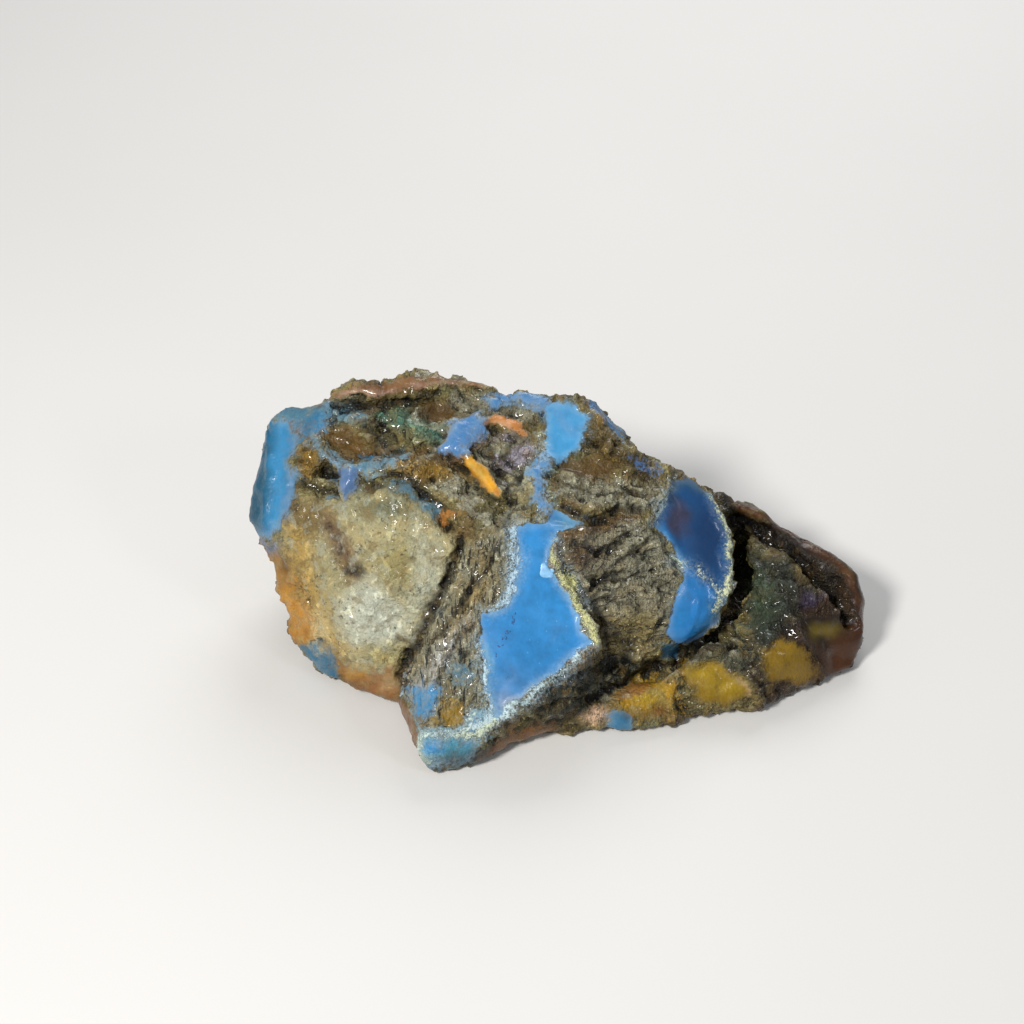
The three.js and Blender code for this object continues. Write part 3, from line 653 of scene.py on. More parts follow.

# The relief is what stands up and what is cut in, by rise in mm. A stain darkens what is cut, as painted
# shade in grooves and crevices and as the seams' own dark in thin cracks.
reliefMarks = [
    # the olive face and the windows
    dict(rindMarks["oliveFace"], rise=0.4, soft=1.0),
    dict(glassMarks["bigWindow"], rise=-0.4, soft=0.25),
    dict(glassMarks["rightWindow"], rise=-0.1, soft=0.5),
    dict(glassMarks["lensPocket"], rise=-0.9, soft=0.6),
    dict(glassMarks["tooth"], rise=1.1, soft=0.5),
    dict(glassMarks["blob"], rise=0.7, soft=0.8),
    dict(glassMarks["sliver"], rise=0.3, soft=0.7),
    dict(glassMarks["arc"], rise=0.3, soft=0.6),
    dict(line=[(-30.8, 25, 0.2), (-30.6, 20, 0.3), (-30.9, 14, 0.2)], turn=-0.6, rise=0.4, soft=0.7),
    dict(glassMarks["backSea"], rise=-1.0, soft=0.3),
    dict(glassMarks["backChip"], rise=-0.7, soft=0.3),
    dict(glassMarks["backHoney"], rise=-0.6, soft=0.4),
    dict(glassMarks["endAmber"], rise=-0.3, soft=0.4),
    dict(glassMarks["backEmber"], rise=-0.5, soft=0.3),
    # cracks and swells of the back
    dict(plane="back", line=[(-24, 2, 0.2), (-16, 9, 0.4), (-8, 13.5, 0.35), (2, 16.5, 0.3), (9, 22, 0.2)],
         wander=2.0, rise=-1.5, soft=0.5, stain="ink"),
    dict(plane="back", line=[(18.5, 2, 0.2), (16.5, 9, 0.35), (19.5, 16, 0.3), (17, 21, 0.15)], wander=2.0,
         rise=-1.2, soft=0.45, stain="ink"),
    dict(plane="back", line=[(-3, 2, 0.2), (-1, 6, 0.3), (-2.5, 10, 0.25), (-1, 13, 0.1)], wander=2.0,
         rise=-0.9, soft=0.4, stain="soot"),
    dict(plane="back", outline=[(-26, 0), (-18, 0), (-10, 5), (-14, 9), (-22, 6)], wander=1.5, rise=0.8,
         soft=0.8),
    dict(plane="back", outline=[(10, 11), (18, 13), (15, 19), (8, 17)], wander=1.5, rise=0.7, soft=0.6),
    # veins, pockets and patches
    dict(glassMarks["crestStrip"], rise=0.6, soft=0.6),
    dict(glassMarks["crestVein"], rise=0.35, soft=0.5),
    dict(glassMarks["dropVein"], rise=0.35, soft=0.5),
    dict(glassMarks["brownPocket"], rise=-0.7, soft=0.7),
    dict(glassMarks["ochreCell"], rise=-0.35, soft=0.4),
    dict(glassMarks["tailRim"], rise=0.5, soft=0.8),
    dict(glassMarks["yellowMiddle"], rise=0.3, soft=0.6),
    dict(glassMarks["yellowRight"], rise=0.3, soft=0.6),
    # splits of the sheet-like band; the first, the dark seam by the olive face, is black partly of its own
    # and partly as painted shade under the olive face's lip
    dict(line=[(-9.6, 12.2, 0.2), (-10.4, 9.6, 0.35), (-11.6, 7, 0.35), (-12.4, 4.6, 0.3), (-13.8, 2, 0.45),
         (-15.4, -1, 0.4), (-16.5, -3.5, 0.35)], rise=-1.2, soft=0.4, stain="ink"),
    dict(line=[(-10.6, 9, 0.3), (-12.8, 4.6, 0.5), (-14.8, 0.5, 0.5), (-15.6, -3, 0.3)], rise=0.0, soft=0.8,
         stain="speck"),
    dict(line=[(-6.5, 10, 0.12), (-10, 5, 0.3), (-13, 0, 0.2)], rise=-0.7, soft=0.35, stain="ink"),
    dict(line=[(-8.6, 3, 0.1), (-11, -0.6, 0.2), (-12.6, -4, 0.1)], rise=-0.5, soft=0.3, stain="speck"),
    dict(line=[(-17, 1.2, 0.1), (-16, 0.8, 0.2), (-15, 1.3, 0.1)], rise=-0.6, soft=0.35, stain="ink"),
    # the edge right of the big window, and the right window's rim
    dict(line=[(0, 12, 0.1), (0.4, 9, 0.25), (2.0, 6.8, 0.3), (3.4, 5.2, 0.3), (4.8, 3, 0.3),
         (5.4, 0, 0.4)], rise=-1.4, soft=0.4, stain="ink"),
    dict(line=[(16.7, 16, 0.3), (18.1, 12.5, 0.5), (18.5, 9, 0.5), (17.7, 5.5, 0.4)], rise=0.7, soft=0.7),
    dict(line=[(14.8, 4.9, 0.05), (14.4, 2.2, 0.05)], wander=0.4, rise=0.45, soft=0.4),
    # grooves along the tail, their ink stain painted shade
    dict(sideGroove, rise=-1.9, soft=0.6, stain="ink"),
    dict(line=[(19, 15.5, 0.4), (22, 13, 0.6), (25, 10.5, 0.7), (27.5, 8, 0.7), (30.5, 5, 0.6),
         (31.5, 2.5, 0.4)], rise=-1.7, soft=0.6, stain="ink"),
    # the crest and the upper left; the first cut's ink stain is a painted shadow under the crest strip
    dict(line=[(-24, 25.8, 0.3), (-20, 25.8, 0.5), (-16.5, 26.2, 0.4), (-13, 26.9, 0.2)], rise=-1.3,
         soft=0.5, stain="ink"),
    dict(spot=(-12.4, 25, 1.7, 1.2), rise=-1.1, soft=0.6, stain="rustDark"),
    dict(spot=(-18.5, 21.7, 2.0, 1.2), rise=-0.9, soft=0.8),
    dict(line=[(-25.2, 18.7, 0.35), (-22.8, 18, 0.4)], rise=-1.3, soft=0.5, stain="ink"),
    dict(line=[(-28, 17.3, 0.2), (-25.8, 17, 0.35), (-23.5, 16.7, 0.3)], rise=-0.7, soft=0.6, stain="soot"),
    dict(line=[(-20.2, 17.8, 0.2), (-17, 18.3, 0.3), (-14, 17, 0.35), (-11.4, 13.2, 0.3)], rise=-0.9,
         soft=0.45, stain="soot"),
    dict(line=[(-22.5, 22.6, 0.2), (-20.4, 20.4, 0.35), (-19.4, 19.8, 0.2)], rise=-0.7, soft=0.5,
         stain="umberDeep"),
    dict(spot=(-26.4, 20, 1.2, 2.0), rise=0.9, soft=0.9),
    # dips and swells of the olive face
    dict(line=[(-23.8, 13, 0.5), (-22.6, 10.5, 0.8), (-21.4, 7.8, 0.6)], rise=-1.0, soft=1.0),
    dict(line=[(-26, 4, 0.3), (-23.6, 1.5, 0.5), (-21, -1, 0.5)], rise=0.5, soft=1.2),
    dict(spot=(-16, 11, 2.0, 1.5), rise=0.45, soft=1.2),
    dict(spot=(-17, 3.5, 1.6, 2.6), rise=-0.35, soft=1.4),
    # round the sliver, cuts whose ink stains are painted shadow along its sides
    dict(line=[(-11, 20.4, 0.2), (-9.5, 18.6, 0.3), (-7.6, 16.4, 0.3), (-6, 15.4, 0.2)], rise=-1.0,
         soft=0.45, stain="ink"),
    dict(line=[(-7.6, 21.8, 0.2), (-6.6, 20, 0.3), (-5.2, 17.6, 0.25), (-4.6, 15.6, 0.2)], rise=-0.9,
         soft=0.45, stain="ink"),
    # splits of the right rind
    dict(line=[(5.5, 9, 0.12), (8.5, 10.5, 0.2), (10, 12, 0.1)], rise=-1.0, soft=0.35, stain="ink"),
    dict(line=[(3.5, 7.6, 0.12), (6.5, 7.2, 0.2), (10.5, 8.6, 0.1)], rise=-1.0, soft=0.35, stain="ink"),
    dict(line=[(3.2, 6, 0.15), (5.2, 7.8, 0.3), (7.2, 8.3, 0.15)], rise=-0.8, soft=0.4, stain="ink"),
    dict(line=[(1.8, 11.2, 0.1), (4.4, 10.2, 0.2), (7.6, 11.9, 0.1)], rise=-0.9, soft=0.35, stain="ink"),
    dict(line=[(3, 4.8, 0.1), (6, 5.4, 0.2), (9, 4.2, 0.1)], rise=-0.7, soft=0.35, stain="ink"),
    dict(outline=[(4, 9.6), (7.4, 10.8), (9.6, 9.4), (7, 8.2)], rise=0.5, soft=0.7),
    dict(line=[(0.5, 14.9, 0.2), (4, 13.8, 0.25), (8.5, 15.1, 0.2)], rise=-0.8, soft=0.45, stain="ink"),
    dict(line=[(1, 17, 0.2), (4.5, 15.9, 0.2), (8, 16.4, 0.2)], rise=-0.5, soft=0.35, stain="speck"),
    # the toe and the tail
    dict(line=[(17, -0.6, 0.3), (20.3, -2.4, 0.5), (21.3, -5.4, 0.4)], rise=0.5, soft=0.6),
    dict(line=[(12.9, -0.6, 0.2), (13.5, -3.5, 0.25), (13.2, -6.8, 0.2)], rise=-0.7, soft=0.4,
         stain="soot"),
    dict(line=[(20.3, -1.6, 0.2), (21.6, -3, 0.25), (21.8, -5, 0.2)], rise=-0.7, soft=0.4,
         stain="umberDeep"),
    dict(line=[(15, -1.6, 0.15), (18, -3.2, 0.2), (17, -4.4, 0.1)], rise=-0.5, soft=0.3, stain="umberDeep"),
    dict(line=[(28.8, 0.5, 0.2), (25.5, 3.5, 0.3), (24, 6, 0.2)], rise=-0.6, soft=0.5, stain="soot"),
]


lumpBuild = dict(
    firstVoxel=0.42,      # mm, evens out the frame's big faces
    firstRelax=12,        # rounds of smoothing, which take the edges off
    crag=0.75,            # mm, slow swells
    chip=0.8,             # mm, broken facets
    voxel=0.225,          # mm, the mesh that carries the relief
    grain=0.15,           # mm, the finest relief
    flake=0.2,            # mm, small broken facets
    slab=0.35,            # mm, larger ones where the rind is loose
    pit=0.12,             # mm, small holes
    fibre=0.3,            # mm, ridges of the foliated rind
    fracture=0.2,         # mm, facets of the broken amber
    ripple=0.02,          # mm, shell-like rings on it
    ringMiddle=(10, -34, 30),
    foot=0.8,             # mm above the floor, where the sides begin
    press=0.8,            # mm, how softly the crest is pressed down to the box
    mostTriangles=194000,
)


def asPoints(mesh, layer="vertices", name="co"):
    source = getattr(mesh, layer)
    values = np.empty(len(source) * 3)
    source.foreach_get(name, values)
    return values.reshape(-1, 3)


def applied(thing, name):
    depsgraph = bpy.context.evaluated_depsgraph_get()
    mesh = bpy.data.meshes.new_from_object(thing.evaluated_get(depsgraph))
    mesh.name = name
    return mesh


def placed(mesh, name):
    thing = bpy.data.objects.new(name, mesh)
    bpy.context.scene.collection.objects.link(thing)
    return thing


def remeshed(mesh, voxel):
    thing = placed(mesh, "remeshing")
    grid = thing.modifiers.new("grid", "REMESH")
    grid.mode = "VOXEL"
    grid.voxel_size = voxel * mm
    made = applied(thing, "remeshed")
    bpy.data.objects.remove(thing)
    return made


def thinned(mesh, most):
    triangles = sum(len(face.vertices) - 2 for face in mesh.polygons)
    thing = placed(mesh, "thinning")
    thinner = thing.modifiers.new("thinner", "DECIMATE")
    thinner.ratio = min(1.0, most / triangles)
    thinner.use_collapse_triangulate = True
    made = applied(thing, "thinned")
    bpy.data.objects.remove(thing)
    return made


# Averages a value over each point's neighbours, again and again.
def spread(mesh, values, rounds, share=0.5):
    pairs = np.empty(len(mesh.edges) * 2, int)
    mesh.edges.foreach_get("vertices", pairs)
    first, second = pairs.reshape(-1, 2).T
    size = len(values)
    count = np.bincount(first, minlength=size) + np.bincount(second, minlength=size)
    values = values.copy()
    for turn in range(rounds):
        for axis in range(values.shape[1]):
            middle = np.bincount(first, values[second, axis], size)
            middle += np.bincount(second, values[first, axis], size)
            values[:, axis] += share * (middle / np.maximum(count, 1) - values[:, axis])
    return values


def movedTo(mesh, points):
    mesh.vertices.foreach_set("co", points.ravel())
    mesh.update()
    return mesh


def relaxed(mesh, rounds):
    return movedTo(mesh, spread(mesh, asPoints(mesh), rounds))


# What the nearest window says at each point.
def glassFields(survey):
    size = len(survey["points"])
    fields = {name: np.full(size, value) for name, value in glassDefaults.items()}
    fields["depth"] = np.full(size, farOutside)
    fields["tone"] = np.tile(linearColour("tealBlue"), (size, 1))
    for mark in glassMarks.values():
        depth = markDistance(survey, mark)
        closer = depth > fields["depth"]
        fields["depth"][closer] = depth[closer]
        fields["tone"][closer] = linearColour(mark["tone"])
        for name, value in glassDefaults.items():
            fields[name][closer] = mark.get(name, value)
    fields["depth"] = np.minimum(fields["depth"], -markDistance(survey, sideGroove))
    return fields


# The frame's own solid with its edges taken off.
def firstShape():
    source = bpy.data.meshes.new("joined")
    work = bmesh.new()
    work.from_mesh(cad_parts["amber_specimen"].data)
    bmesh.ops.remove_doubles(work, verts=work.verts, dist=1e-6)
    work.to_mesh(source)
    work.free()
    return relaxed(remeshed(source, lumpBuild["firstVoxel"]), lumpBuild["firstRelax"])


# Swells, facets and the relief marks, all along the surface's own normal.
def cutAndChipped(mesh):
    survey = surveyed(mesh)
    points = survey["points"]
    glass = glassFields(survey)
    rindShare = 1 - smoothStep(glass["depth"], -0.8, 0.5) * (1 - 0.5 * glass["grit"])
    calm = 1 - 0.6 * markShare(survey, rindMarks["oliveFace"], 0.8)
    calm *= 1 - 0.7 * markShare(survey, glassMarks["crestStrip"], 1.5)
    rise = lumpBuild["crag"] * layeredNoise(points, size=11, seed=3, layers=2) * (0.4 + 0.6 * rindShare)
    rise += lumpBuild["chip"] * chippedNoise(points, size=4.6, seed=8) * rindShare * calm
    rise += 0.5 * lumpBuild["chip"] * chippedNoise(points, size=2.1, seed=9) * rindShare * calm
    for cut in reliefMarks:
        rise += cut["rise"] * markShare(survey, cut, cut["soft"])
    rise *= smoothStep(points[:, 2], 0.0, lumpBuild["foot"])      # the resting face stays flat
    movedTo(mesh, (points + survey["normals"] * rise[:, None]) * mm)
    return relaxed(remeshed(mesh, lumpBuild["voxel"]), 2)


# Stretches the lump to the frame's own box, once what pokes out of its top is pressed down.
def fittedToBox(points):
    press = lumpBuild["press"]
    over = points[:, 2] - boxHigh[2] + press
    points[:, 2] = np.where(over > 0, boxHigh[2] - press + press * np.tanh(over / press), points[:, 2])
    low, high = points.min(axis=0), points.max(axis=0)
    return boxLow + (points - low) * (boxHigh - boxLow) / (high - low)


# How much each point belongs to each kind of rind, from 0 to 1.
def rindShares(survey, glass):
    tails = [markShare(survey, rindMarks[name], 0.8) for name in ("tailHump", "tailWall", "tailUnder")]
    return {
        "band": markShare(survey, rindMarks["foliatedBand"], 0.6),
        "right": markShare(survey, rindMarks["rightRind"], 0.6),
        "olive": markShare(survey, rindMarks["oliveFace"], 0.8),
        "tail": np.max(tails, axis=0),
        "rind": 1 - smoothStep(glass["depth"], -0.35, 0.15) * (1 - 0.65 * glass["grit"]),
        "gloss": glass["gloss"],
    }


# The fine relief: sheets, flakes, pits and grain on the rind, facets and rings on the windows.
def finelyWorn(mesh, survey, shares):
    points = survey["points"]
    along, up, outward = drawingPlanes["front"]
    olive, band, right, rind = shares["olive"], shares["band"], shares["right"], shares["rind"]
    bandAcross = 0.87 * along - 0.5 * up + 0.2 * outward
    rightAcross = -0.35 * along + 0.9 * up + 0.25 * outward
    restAcross = 0.25 * along + 0.9 * up + 0.3 * outward
    sheets = band * (1.1 * sheetNoise(points, bandAcross, seed=21, thick=0.6, long=9))
    sheets = sheets + right * (0.75 * sheetNoise(points, rightAcross, seed=25, thick=0.65, long=6))
    rest = (1 - band) * (1 - right) * (1 - olive)
    sheets = sheets + rest * (1.5 * sheetNoise(points, restAcross, seed=29, thick=1.3, long=7))
    pits = np.minimum(0, latticeNoise(points, size=1.3, seed=61) + 0.3)
    flakes = chippedNoise(points, size=1.2, seed=15) + 0.7 * chippedNoise(points, size=0.7, seed=16)
    rough = 1 - 0.7 * olive - 0.4 * shares["tail"] - 0.5 * band
    loose = (1 - 0.8 * band) * (1 - 0.7 * right) * rough
    relief = lumpBuild["fibre"] * sheets * (1 + 0.15 * right)
    relief += lumpBuild["flake"] * flakes * rough
    relief += lumpBuild["slab"] * chippedNoise(points, size=2.3, seed=19, tilt=0.6) * loose
    grain = layeredNoise(points, size=0.75, seed=57, layers=2)
    relief += lumpBuild["grain"] * grain + lumpBuild["pit"] * pits
    relief *= rind
    rings = np.linalg.norm(points - lumpBuild["ringMiddle"], axis=1)
    rings += 1.5 * latticeNoise(points, size=6.0, seed=75)
    broken = chippedNoise(points, size=4.4, seed=72, tilt=0.7) + 0.5 * latticeNoise(points, size=3.0, seed=71)
    shell = lumpBuild["fracture"] * broken + lumpBuild["ripple"] * np.sin(rings * 4.5)
    relief += (1 - rind) * shares["gloss"] * shell
    relief *= smoothStep(points[:, 2], 0.0, 0.5)
    return movedTo(mesh, (points + survey["normals"] * relief[:, None]) * mm)


def paintOver(tone, share, name):
    share = share[:, None]
    return tone * (1 - share) + share * linearColour(name)


def rindTones(survey):
    points = survey["points"]
    tone = np.tile(linearColour("rind"), (len(points), 1))
    tone = paintOver(tone, smoothStep(layeredNoise(points, 7, 91, 2), 0.0, 0.6), "cinnamon")
    tone = paintOver(tone, 0.7 * smoothStep(layeredNoise(points, 5, 95, 2), 0.05, 0.6), "umber")
    tone = paintOver(tone, 0.6 * smoothStep(layeredNoise(points, 6, 99, 2), 0.1, 0.6), "greenGrey")
    for mark in rindMarks.values():
        tone = paintOver(tone, markShare(survey, mark, mark["soft"]), mark["tone"])
    # the cuts' stains: painted shade in the grooves and crevices, the seams' own dark in the thin cracks
    for cut in reliefMarks:
        if "stain" in cut:
            tone = paintOver(tone, 0.85 * markShare(survey, cut, cut["soft"] * 0.7), cut["stain"])
    return tone


# The windows' tone and clearness with the shades painted over them.
def shadedGlass(survey, glass):
    tone, clear = glass["tone"], glass["clear"]
    for shade in glassShades:
        share = 0.85 * markShare(survey, shade, shade["soft"])
        tone = paintOver(tone, share, shade["tone"])
        clear = clear + share * (shade.get("clear", clear) - clear)
    return tone, clear


def chalkDepths(survey):
    chalk = np.full(len(survey["points"]), -3.0)
    cream = np.zeros(len(chalk))
    for mark in chalkMarks:
        depth = markDistance(survey, mark)
        cream = np.where(depth > chalk, mark["cream"], cream)
        chalk = np.maximum(depth, chalk)
    return chalk, cream


# How far each point stands above (or below) the calm surface round it, in mm.
def standing(mesh, rounds):
    points = asPoints(mesh)
    away = points - spread(mesh, points, rounds)
    return np.einsum("ij,ij->i", away, asPoints(mesh, "vertex_normals", "vector")) / mm


def keepAttribute(mesh, name, values):
    if values.ndim == 1:
        mesh.attributes.new(name, "FLOAT", "POINT").data.foreach_set("value", values)
        return
    colours = np.concatenate([values, np.ones((len(values), 1))], axis=1)
    mesh.attributes.new(name, "FLOAT_COLOR", "POINT").data.foreach_set("color", colours.ravel())


def builtLump():
    mesh = cutAndChipped(firstShape())
    print("lump cut and chipped:", len(mesh.vertices), "points")
    survey = surveyed(mesh)
    glass = glassFields(survey)
    shares = rindShares(survey, glass)
    chalk, cream = chalkDepths(survey)
    tone, clear = shadedGlass(survey, glass)
    finelyWorn(mesh, survey, shares)
    band, right, olive, tail = (shares[name] for name in ("band", "right", "olive", "tail"))
    low = survey["points"][:, 2] < lumpBuild["foot"]
    bare = np.minimum(-glass["depth"], -chalk) - 0.1
    patchy = 0.35 + layeredNoise(survey["points"], size=3.0, seed=120, layers=2)
    grains = np.minimum(bare, patchy - 0.8 * olive - 0.8 * tail)
    kept = {
        "glassDepth": glass["depth"], "grit": glass["grit"], "softness": glass["soft"],
        "frost": glass["frost"], "gloss": glass["gloss"], "clearness": clear, "glassTone": tone,
        "rindTone": rindTones(survey), "standing": standing(mesh, 16) + 0.5 * standing(mesh, 70),
        "bandShare": band, "rightShare": right, "oliveShare": olive,
        "plainShare": np.maximum(olive, np.maximum(tail, 0.5 * right)),
        "chalkDepth": chalk, "creamShare": cream,
        "chalk_crumbs": np.where(low, farOutside, chalk), "rind_grains": np.where(low, farOutside, grains),
    }
    for name, values in kept.items():
        keepAttribute(mesh, name, values)
    mesh = thinned(mesh, lumpBuild["mostTriangles"])
    movedTo(mesh, fittedToBox(asPoints(mesh) / mm) * mm)
    mesh.polygons.foreach_set("use_smooth", np.ones(len(mesh.polygons), bool))
    mesh.name = "weathered_lump"
    print("lump finished:", len(mesh.polygons), "triangles")
    return placed(mesh, "weathered_lump")


# One socket of a tree of nodes. Operators add Math nodes, and node() adds any other node.
class Wire:
    def __init__(self, tree, socket=None):
        self.tree = tree
        self.socket = socket

    def node(self, kind, settings=None, values=None, out=0):
        made = self.tree.nodes.new(kind)
        for name, value in (settings or {}).items():
            setattr(made, name, value)
        for key, value in (values or {}).items():
            self.feed(made.inputs[key], value)
        return Wire(self.tree, made.outputs[out] if made.outputs else None)

    def feed(self, target, value):
        if isinstance(value, Wire):
            self.tree.links.new(value.socket, target)
        else:
            target.default_value = value

    def maths(self, operation, first, second):
        return self.node("ShaderNodeMath", dict(operation=operation), {0: first, 1: second})

    def __add__(self, other):
        return self.maths("ADD", self, other)

    def __radd__(self, other):
        return self.maths("ADD", other, self)

    def __sub__(self, other):
        return self.maths("SUBTRACT", self, other)

    def __rsub__(self, other):
        return self.maths("SUBTRACT", other, self)

    def __mul__(self, other):
        return self.maths("MULTIPLY", self, other)

    def __rmul__(self, other):
        return self.maths("MULTIPLY", other, self)

    # 0 below low, 1 above high, eased between.
    def step(self, low, high):
        settings = dict(interpolation_type="SMOOTHSTEP")
        return self.node("ShaderNodeMapRange", settings, {"Value": self, "From Min": low, "From Max": high})

    # A field of the mesh: Fac is its number and Color its colour.
    def named(self, name, out="Fac"):
        return self.node("ShaderNodeAttribute", dict(attribute_name=name), out=out)

    # One colour turning into a second as share goes from 0 to 1. Both are sockets 6 and 7, out of 2.
    def mixed(self, first, second, share):
        settings = dict(data_type="RGBA")
        return self.node("ShaderNodeMix", settings, {0: share, 6: first, 7: second}, out=2)

    def tinted(self, colour, amount):
        return self.node("ShaderNodeVectorMath", dict(operation="SCALE"), {0: colour, "Scale": amount})

    # This colour with a named finish over it.
    def painted(self, name, share):
        return self.mixed(self, solid(name), share)

    # This colour made brighter.
    def lit(self, amount, share):
        return self.mixed(self, self.tinted(self, amount), share)

    # Where the surface is, in mm.
    def place(self):
        return self.tinted(self.node("ShaderNodeTexCoord", out="Object"), 1 / mm)

    def cloud(self, place, size, detail=3.0, roughness=0.5):
        values = {"Vector": place, "Scale": 1 / size, "Detail": detail, "Roughness": roughness}
        return self.node("ShaderNodeTexNoise", None, values)

    def cells(self, place, size, feature="F1", distance="EUCLIDEAN"):
        settings = dict(feature=feature, distance=distance)
        return self.node("ShaderNodeTexVoronoi", settings, {"Vector": place, "Scale": 1 / size})

    # The place, pushed about by noise.
    def warped(self, place, size, amount):
        push = self.node("ShaderNodeTexNoise", None, {"Vector": place, "Scale": 1 / size}, out="Color")
        push = self.node("ShaderNodeVectorMath", dict(operation="SUBTRACT"), {0: push, 1: (0.5, 0.5, 0.5)})
        values = {0: place, 1: self.tinted(push, amount)}
        return self.node("ShaderNodeVectorMath", dict(operation="ADD"), values)

    # The place turned round y, and drawn out where a scale is below 1.
    def drawnOut(self, place, turn, scale):
        rotation = (0.0, math.radians(turn), 0.0)
        return self.node("ShaderNodeMapping", None, {"Vector": place, "Rotation": rotation, "Scale": scale})

    def finish(self, surface, **more):
        self.node("ShaderNodeOutputMaterial", None, {"Surface": surface, **more})

    # A finish of one Principled node.
    def plainFinish(self, colour, roughness, ior=1.5):
        values = {"Base Color": colour, "Roughness": roughness, "IOR": ior}
        self.finish(self.node("ShaderNodeBsdfPrincipled", None, values))


def solid(name):
    return (*linearColour(name), 1.0)


def newMaterial(name):
    material = bpy.data.materials.new(name)
    material.use_nodes = True
    material.node_tree.nodes.clear()
    return material, Wire(material.node_tree)


amberLook = dict(
    ior=1.54, specular=0.2, coatRoughness=0.1,
    absorption=(0.95, 0.72, 0.36, 1.0), density=40.0,
    bump=0.0003,          # metres
)
lumpFields = ("grit", "softness", "frost", "gloss", "clearness", "standing", "glassDepth", "chalkDepth",
              "creamShare", "oliveShare", "bandShare", "rightShare", "plainShare")


# What the parts of the lump's finish share: the mesh's own fields, clouds from coarse to fine, the
# streaks of the two sheet-like rinds, and where a window or chalk shows.
def lumpWires(wire):
    place = wire.place()
    on = SimpleNamespace(place=place, **{name: wire.named(name) for name in lumpFields})
    on.swirl = wire.cloud(place, 2.6)
    on.coarse = wire.cloud(place, 1.9, 4.0, 0.6)
    on.mottle = wire.cloud(place, 1.3, 4.0, 0.6)
    on.wobble = wire.cloud(place, 0.9)
    on.crumb = wire.cloud(place, 0.28, 2.0)
    on.dust = wire.cloud(place, 0.1, 2.0)
    on.bandStreak = wire.cloud(wire.drawnOut(place, 30, (1.0, 0.2, 0.14)), 0.36, 3.0, 0.6)
    on.rightStreak = wire.cloud(wire.drawnOut(place, 18, (0.16, 0.7, 0.9)), 0.42, 3.0, 0.62)
    dirt = (on.wobble - 0.5) * (0.7 + on.grit * 2.6) + (on.crumb - 0.5) * (0.4 + on.grit * 1.8)
    on.glass = on.glassDepth + (dirt - on.grit * 0.1)
    on.window = on.glass.step(-0.03 - on.softness, 0.1 + on.softness)
    nearChalk = on.chalkDepth + (on.wobble - 0.5) * 1.5
    on.chalk = (nearChalk + (on.crumb - 0.5) * 1.4 + (on.dust - 0.5) * 1.1).step(-0.22, 0.3)
    on.veil = nearChalk.step(-1.4, 0.1) * on.crumb.step(0.3, 0.7) * 0.45
    return on


# The rind: its painted tone, then other stones, mottling, streaks, specks, cracks and pale grains, with
# painted shade in the hollows and painted highlight on the ridges.
def rindColour(wire, on):
    olive, band, right = on.oliveShare, on.bandShare, on.rightShare
    spare = 1 - on.plainShare * 0.75
    rind = wire.named("rindTone", out="Color")
    rind = rind.painted("umber", on.coarse.step(0.52, 0.6) * spare * 0.6)
    rind = rind.painted("amberBrown", on.coarse.step(0.47, 0.4) * spare * 0.35)
    rind = rind.lit(1.9, on.wobble.step(0.56, 0.68) * 0.6)
    rind = rind.painted("ashOlive", on.wobble.step(0.6, 0.72) * 0.2 * spare)
    rind = rind.painted("goldTan", olive * on.mottle.step(0.5, 0.68) * 0.3)
    rind = rind.painted("tanDark", olive * on.coarse.step(0.5, 0.68) * 0.6)
    rind = rind.painted("palestOlive", olive * on.mottle.step(0.48, 0.36) * 0.4)
    rind = wire.tinted(rind, 0.26 + on.mottle * 0.7 + on.crumb * 0.5 + on.dust * 0.45)
    pits = wire.cells(wire.warped(on.place, 0.4, 0.7), 0.75).step(0.28, 0.08)
    rind = rind.painted("soot", pits * on.coarse.step(0.5, 0.44) * olive * 0.7)
    rind = rind.painted("tan", band * on.bandStreak.step(0.5, 0.64) * 0.6)
    rind = rind.painted("ash", band * on.mottle.step(0.5, 0.64) * 0.5)
    rind = rind.painted("speck", band * on.bandStreak.step(0.46, 0.39) * 0.85)
    rind = rind.painted("speck", right * on.rightStreak.step(0.44, 0.37) * 0.8)
    rind = rind.painted("tan", right * on.rightStreak.step(0.56, 0.7) * 0.35)
    specks = wire.cloud(on.place, 0.7, 4.0, 0.75).step(0.55, 0.66) * wire.cloud(on.place, 3.0).step(0.42, 0.6)
    rind = rind.painted("speck", specks * 0.65)
    cracks = wire.cells(wire.warped(on.place, 0.9, 1.2), 1.7, feature="DISTANCE_TO_EDGE").step(0.05, 0.01)
    cracks = cracks * wire.cloud(on.place, 2.1).step(0.5, 0.62) * (1 - olive * 0.85)
    rind = rind.painted("speck", cracks * 0.8)
    haze = on.glassDepth.step(-1.4, -0.1) * on.wobble.step(0.42, 0.62) * on.frost
    rind = rind.painted("slateTeal", haze * 0.5)
    rind = rind.painted("ink", on.standing.step(-0.04, -0.5) * 0.85)      # painted shade: darker in the hollows
    rind = rind.lit(1.8, on.standing.step(0.1, 0.36) * 0.55)              # painted highlight: lighter on the ridges
    return rind.painted("chalk", on.veil)


# The amber: the window's own tone, cloudy, milky towards its edge, with small white flecks.
def amberColour(wire, on, rind):
    margin = (1 - on.glass.step(0.0, 1.0)) * on.frost * 0.35
    pale = wire.named("glassTone", out="Color").painted("chalk", margin + on.veil * on.frost)
    cloudy = 0.95 + (on.swirl - 0.5) * (1.3 - on.frost) + (on.mottle - 0.5) * (0.7 - on.frost * 0.4)
    cloudy = cloudy + (on.crumb - 0.5) * 0.25
    flecks = wire.cells(on.place, 0.8).step(0.12, 0.04) * on.crumb.step(0.45, 0.6) * on.frost * 0.5
    amber = wire.tinted(pale, cloudy).painted("chalk", flecks)
    return wire.mixed(amber, rind, on.grit * on.mottle.step(0.42, 0.62) * 0.85)


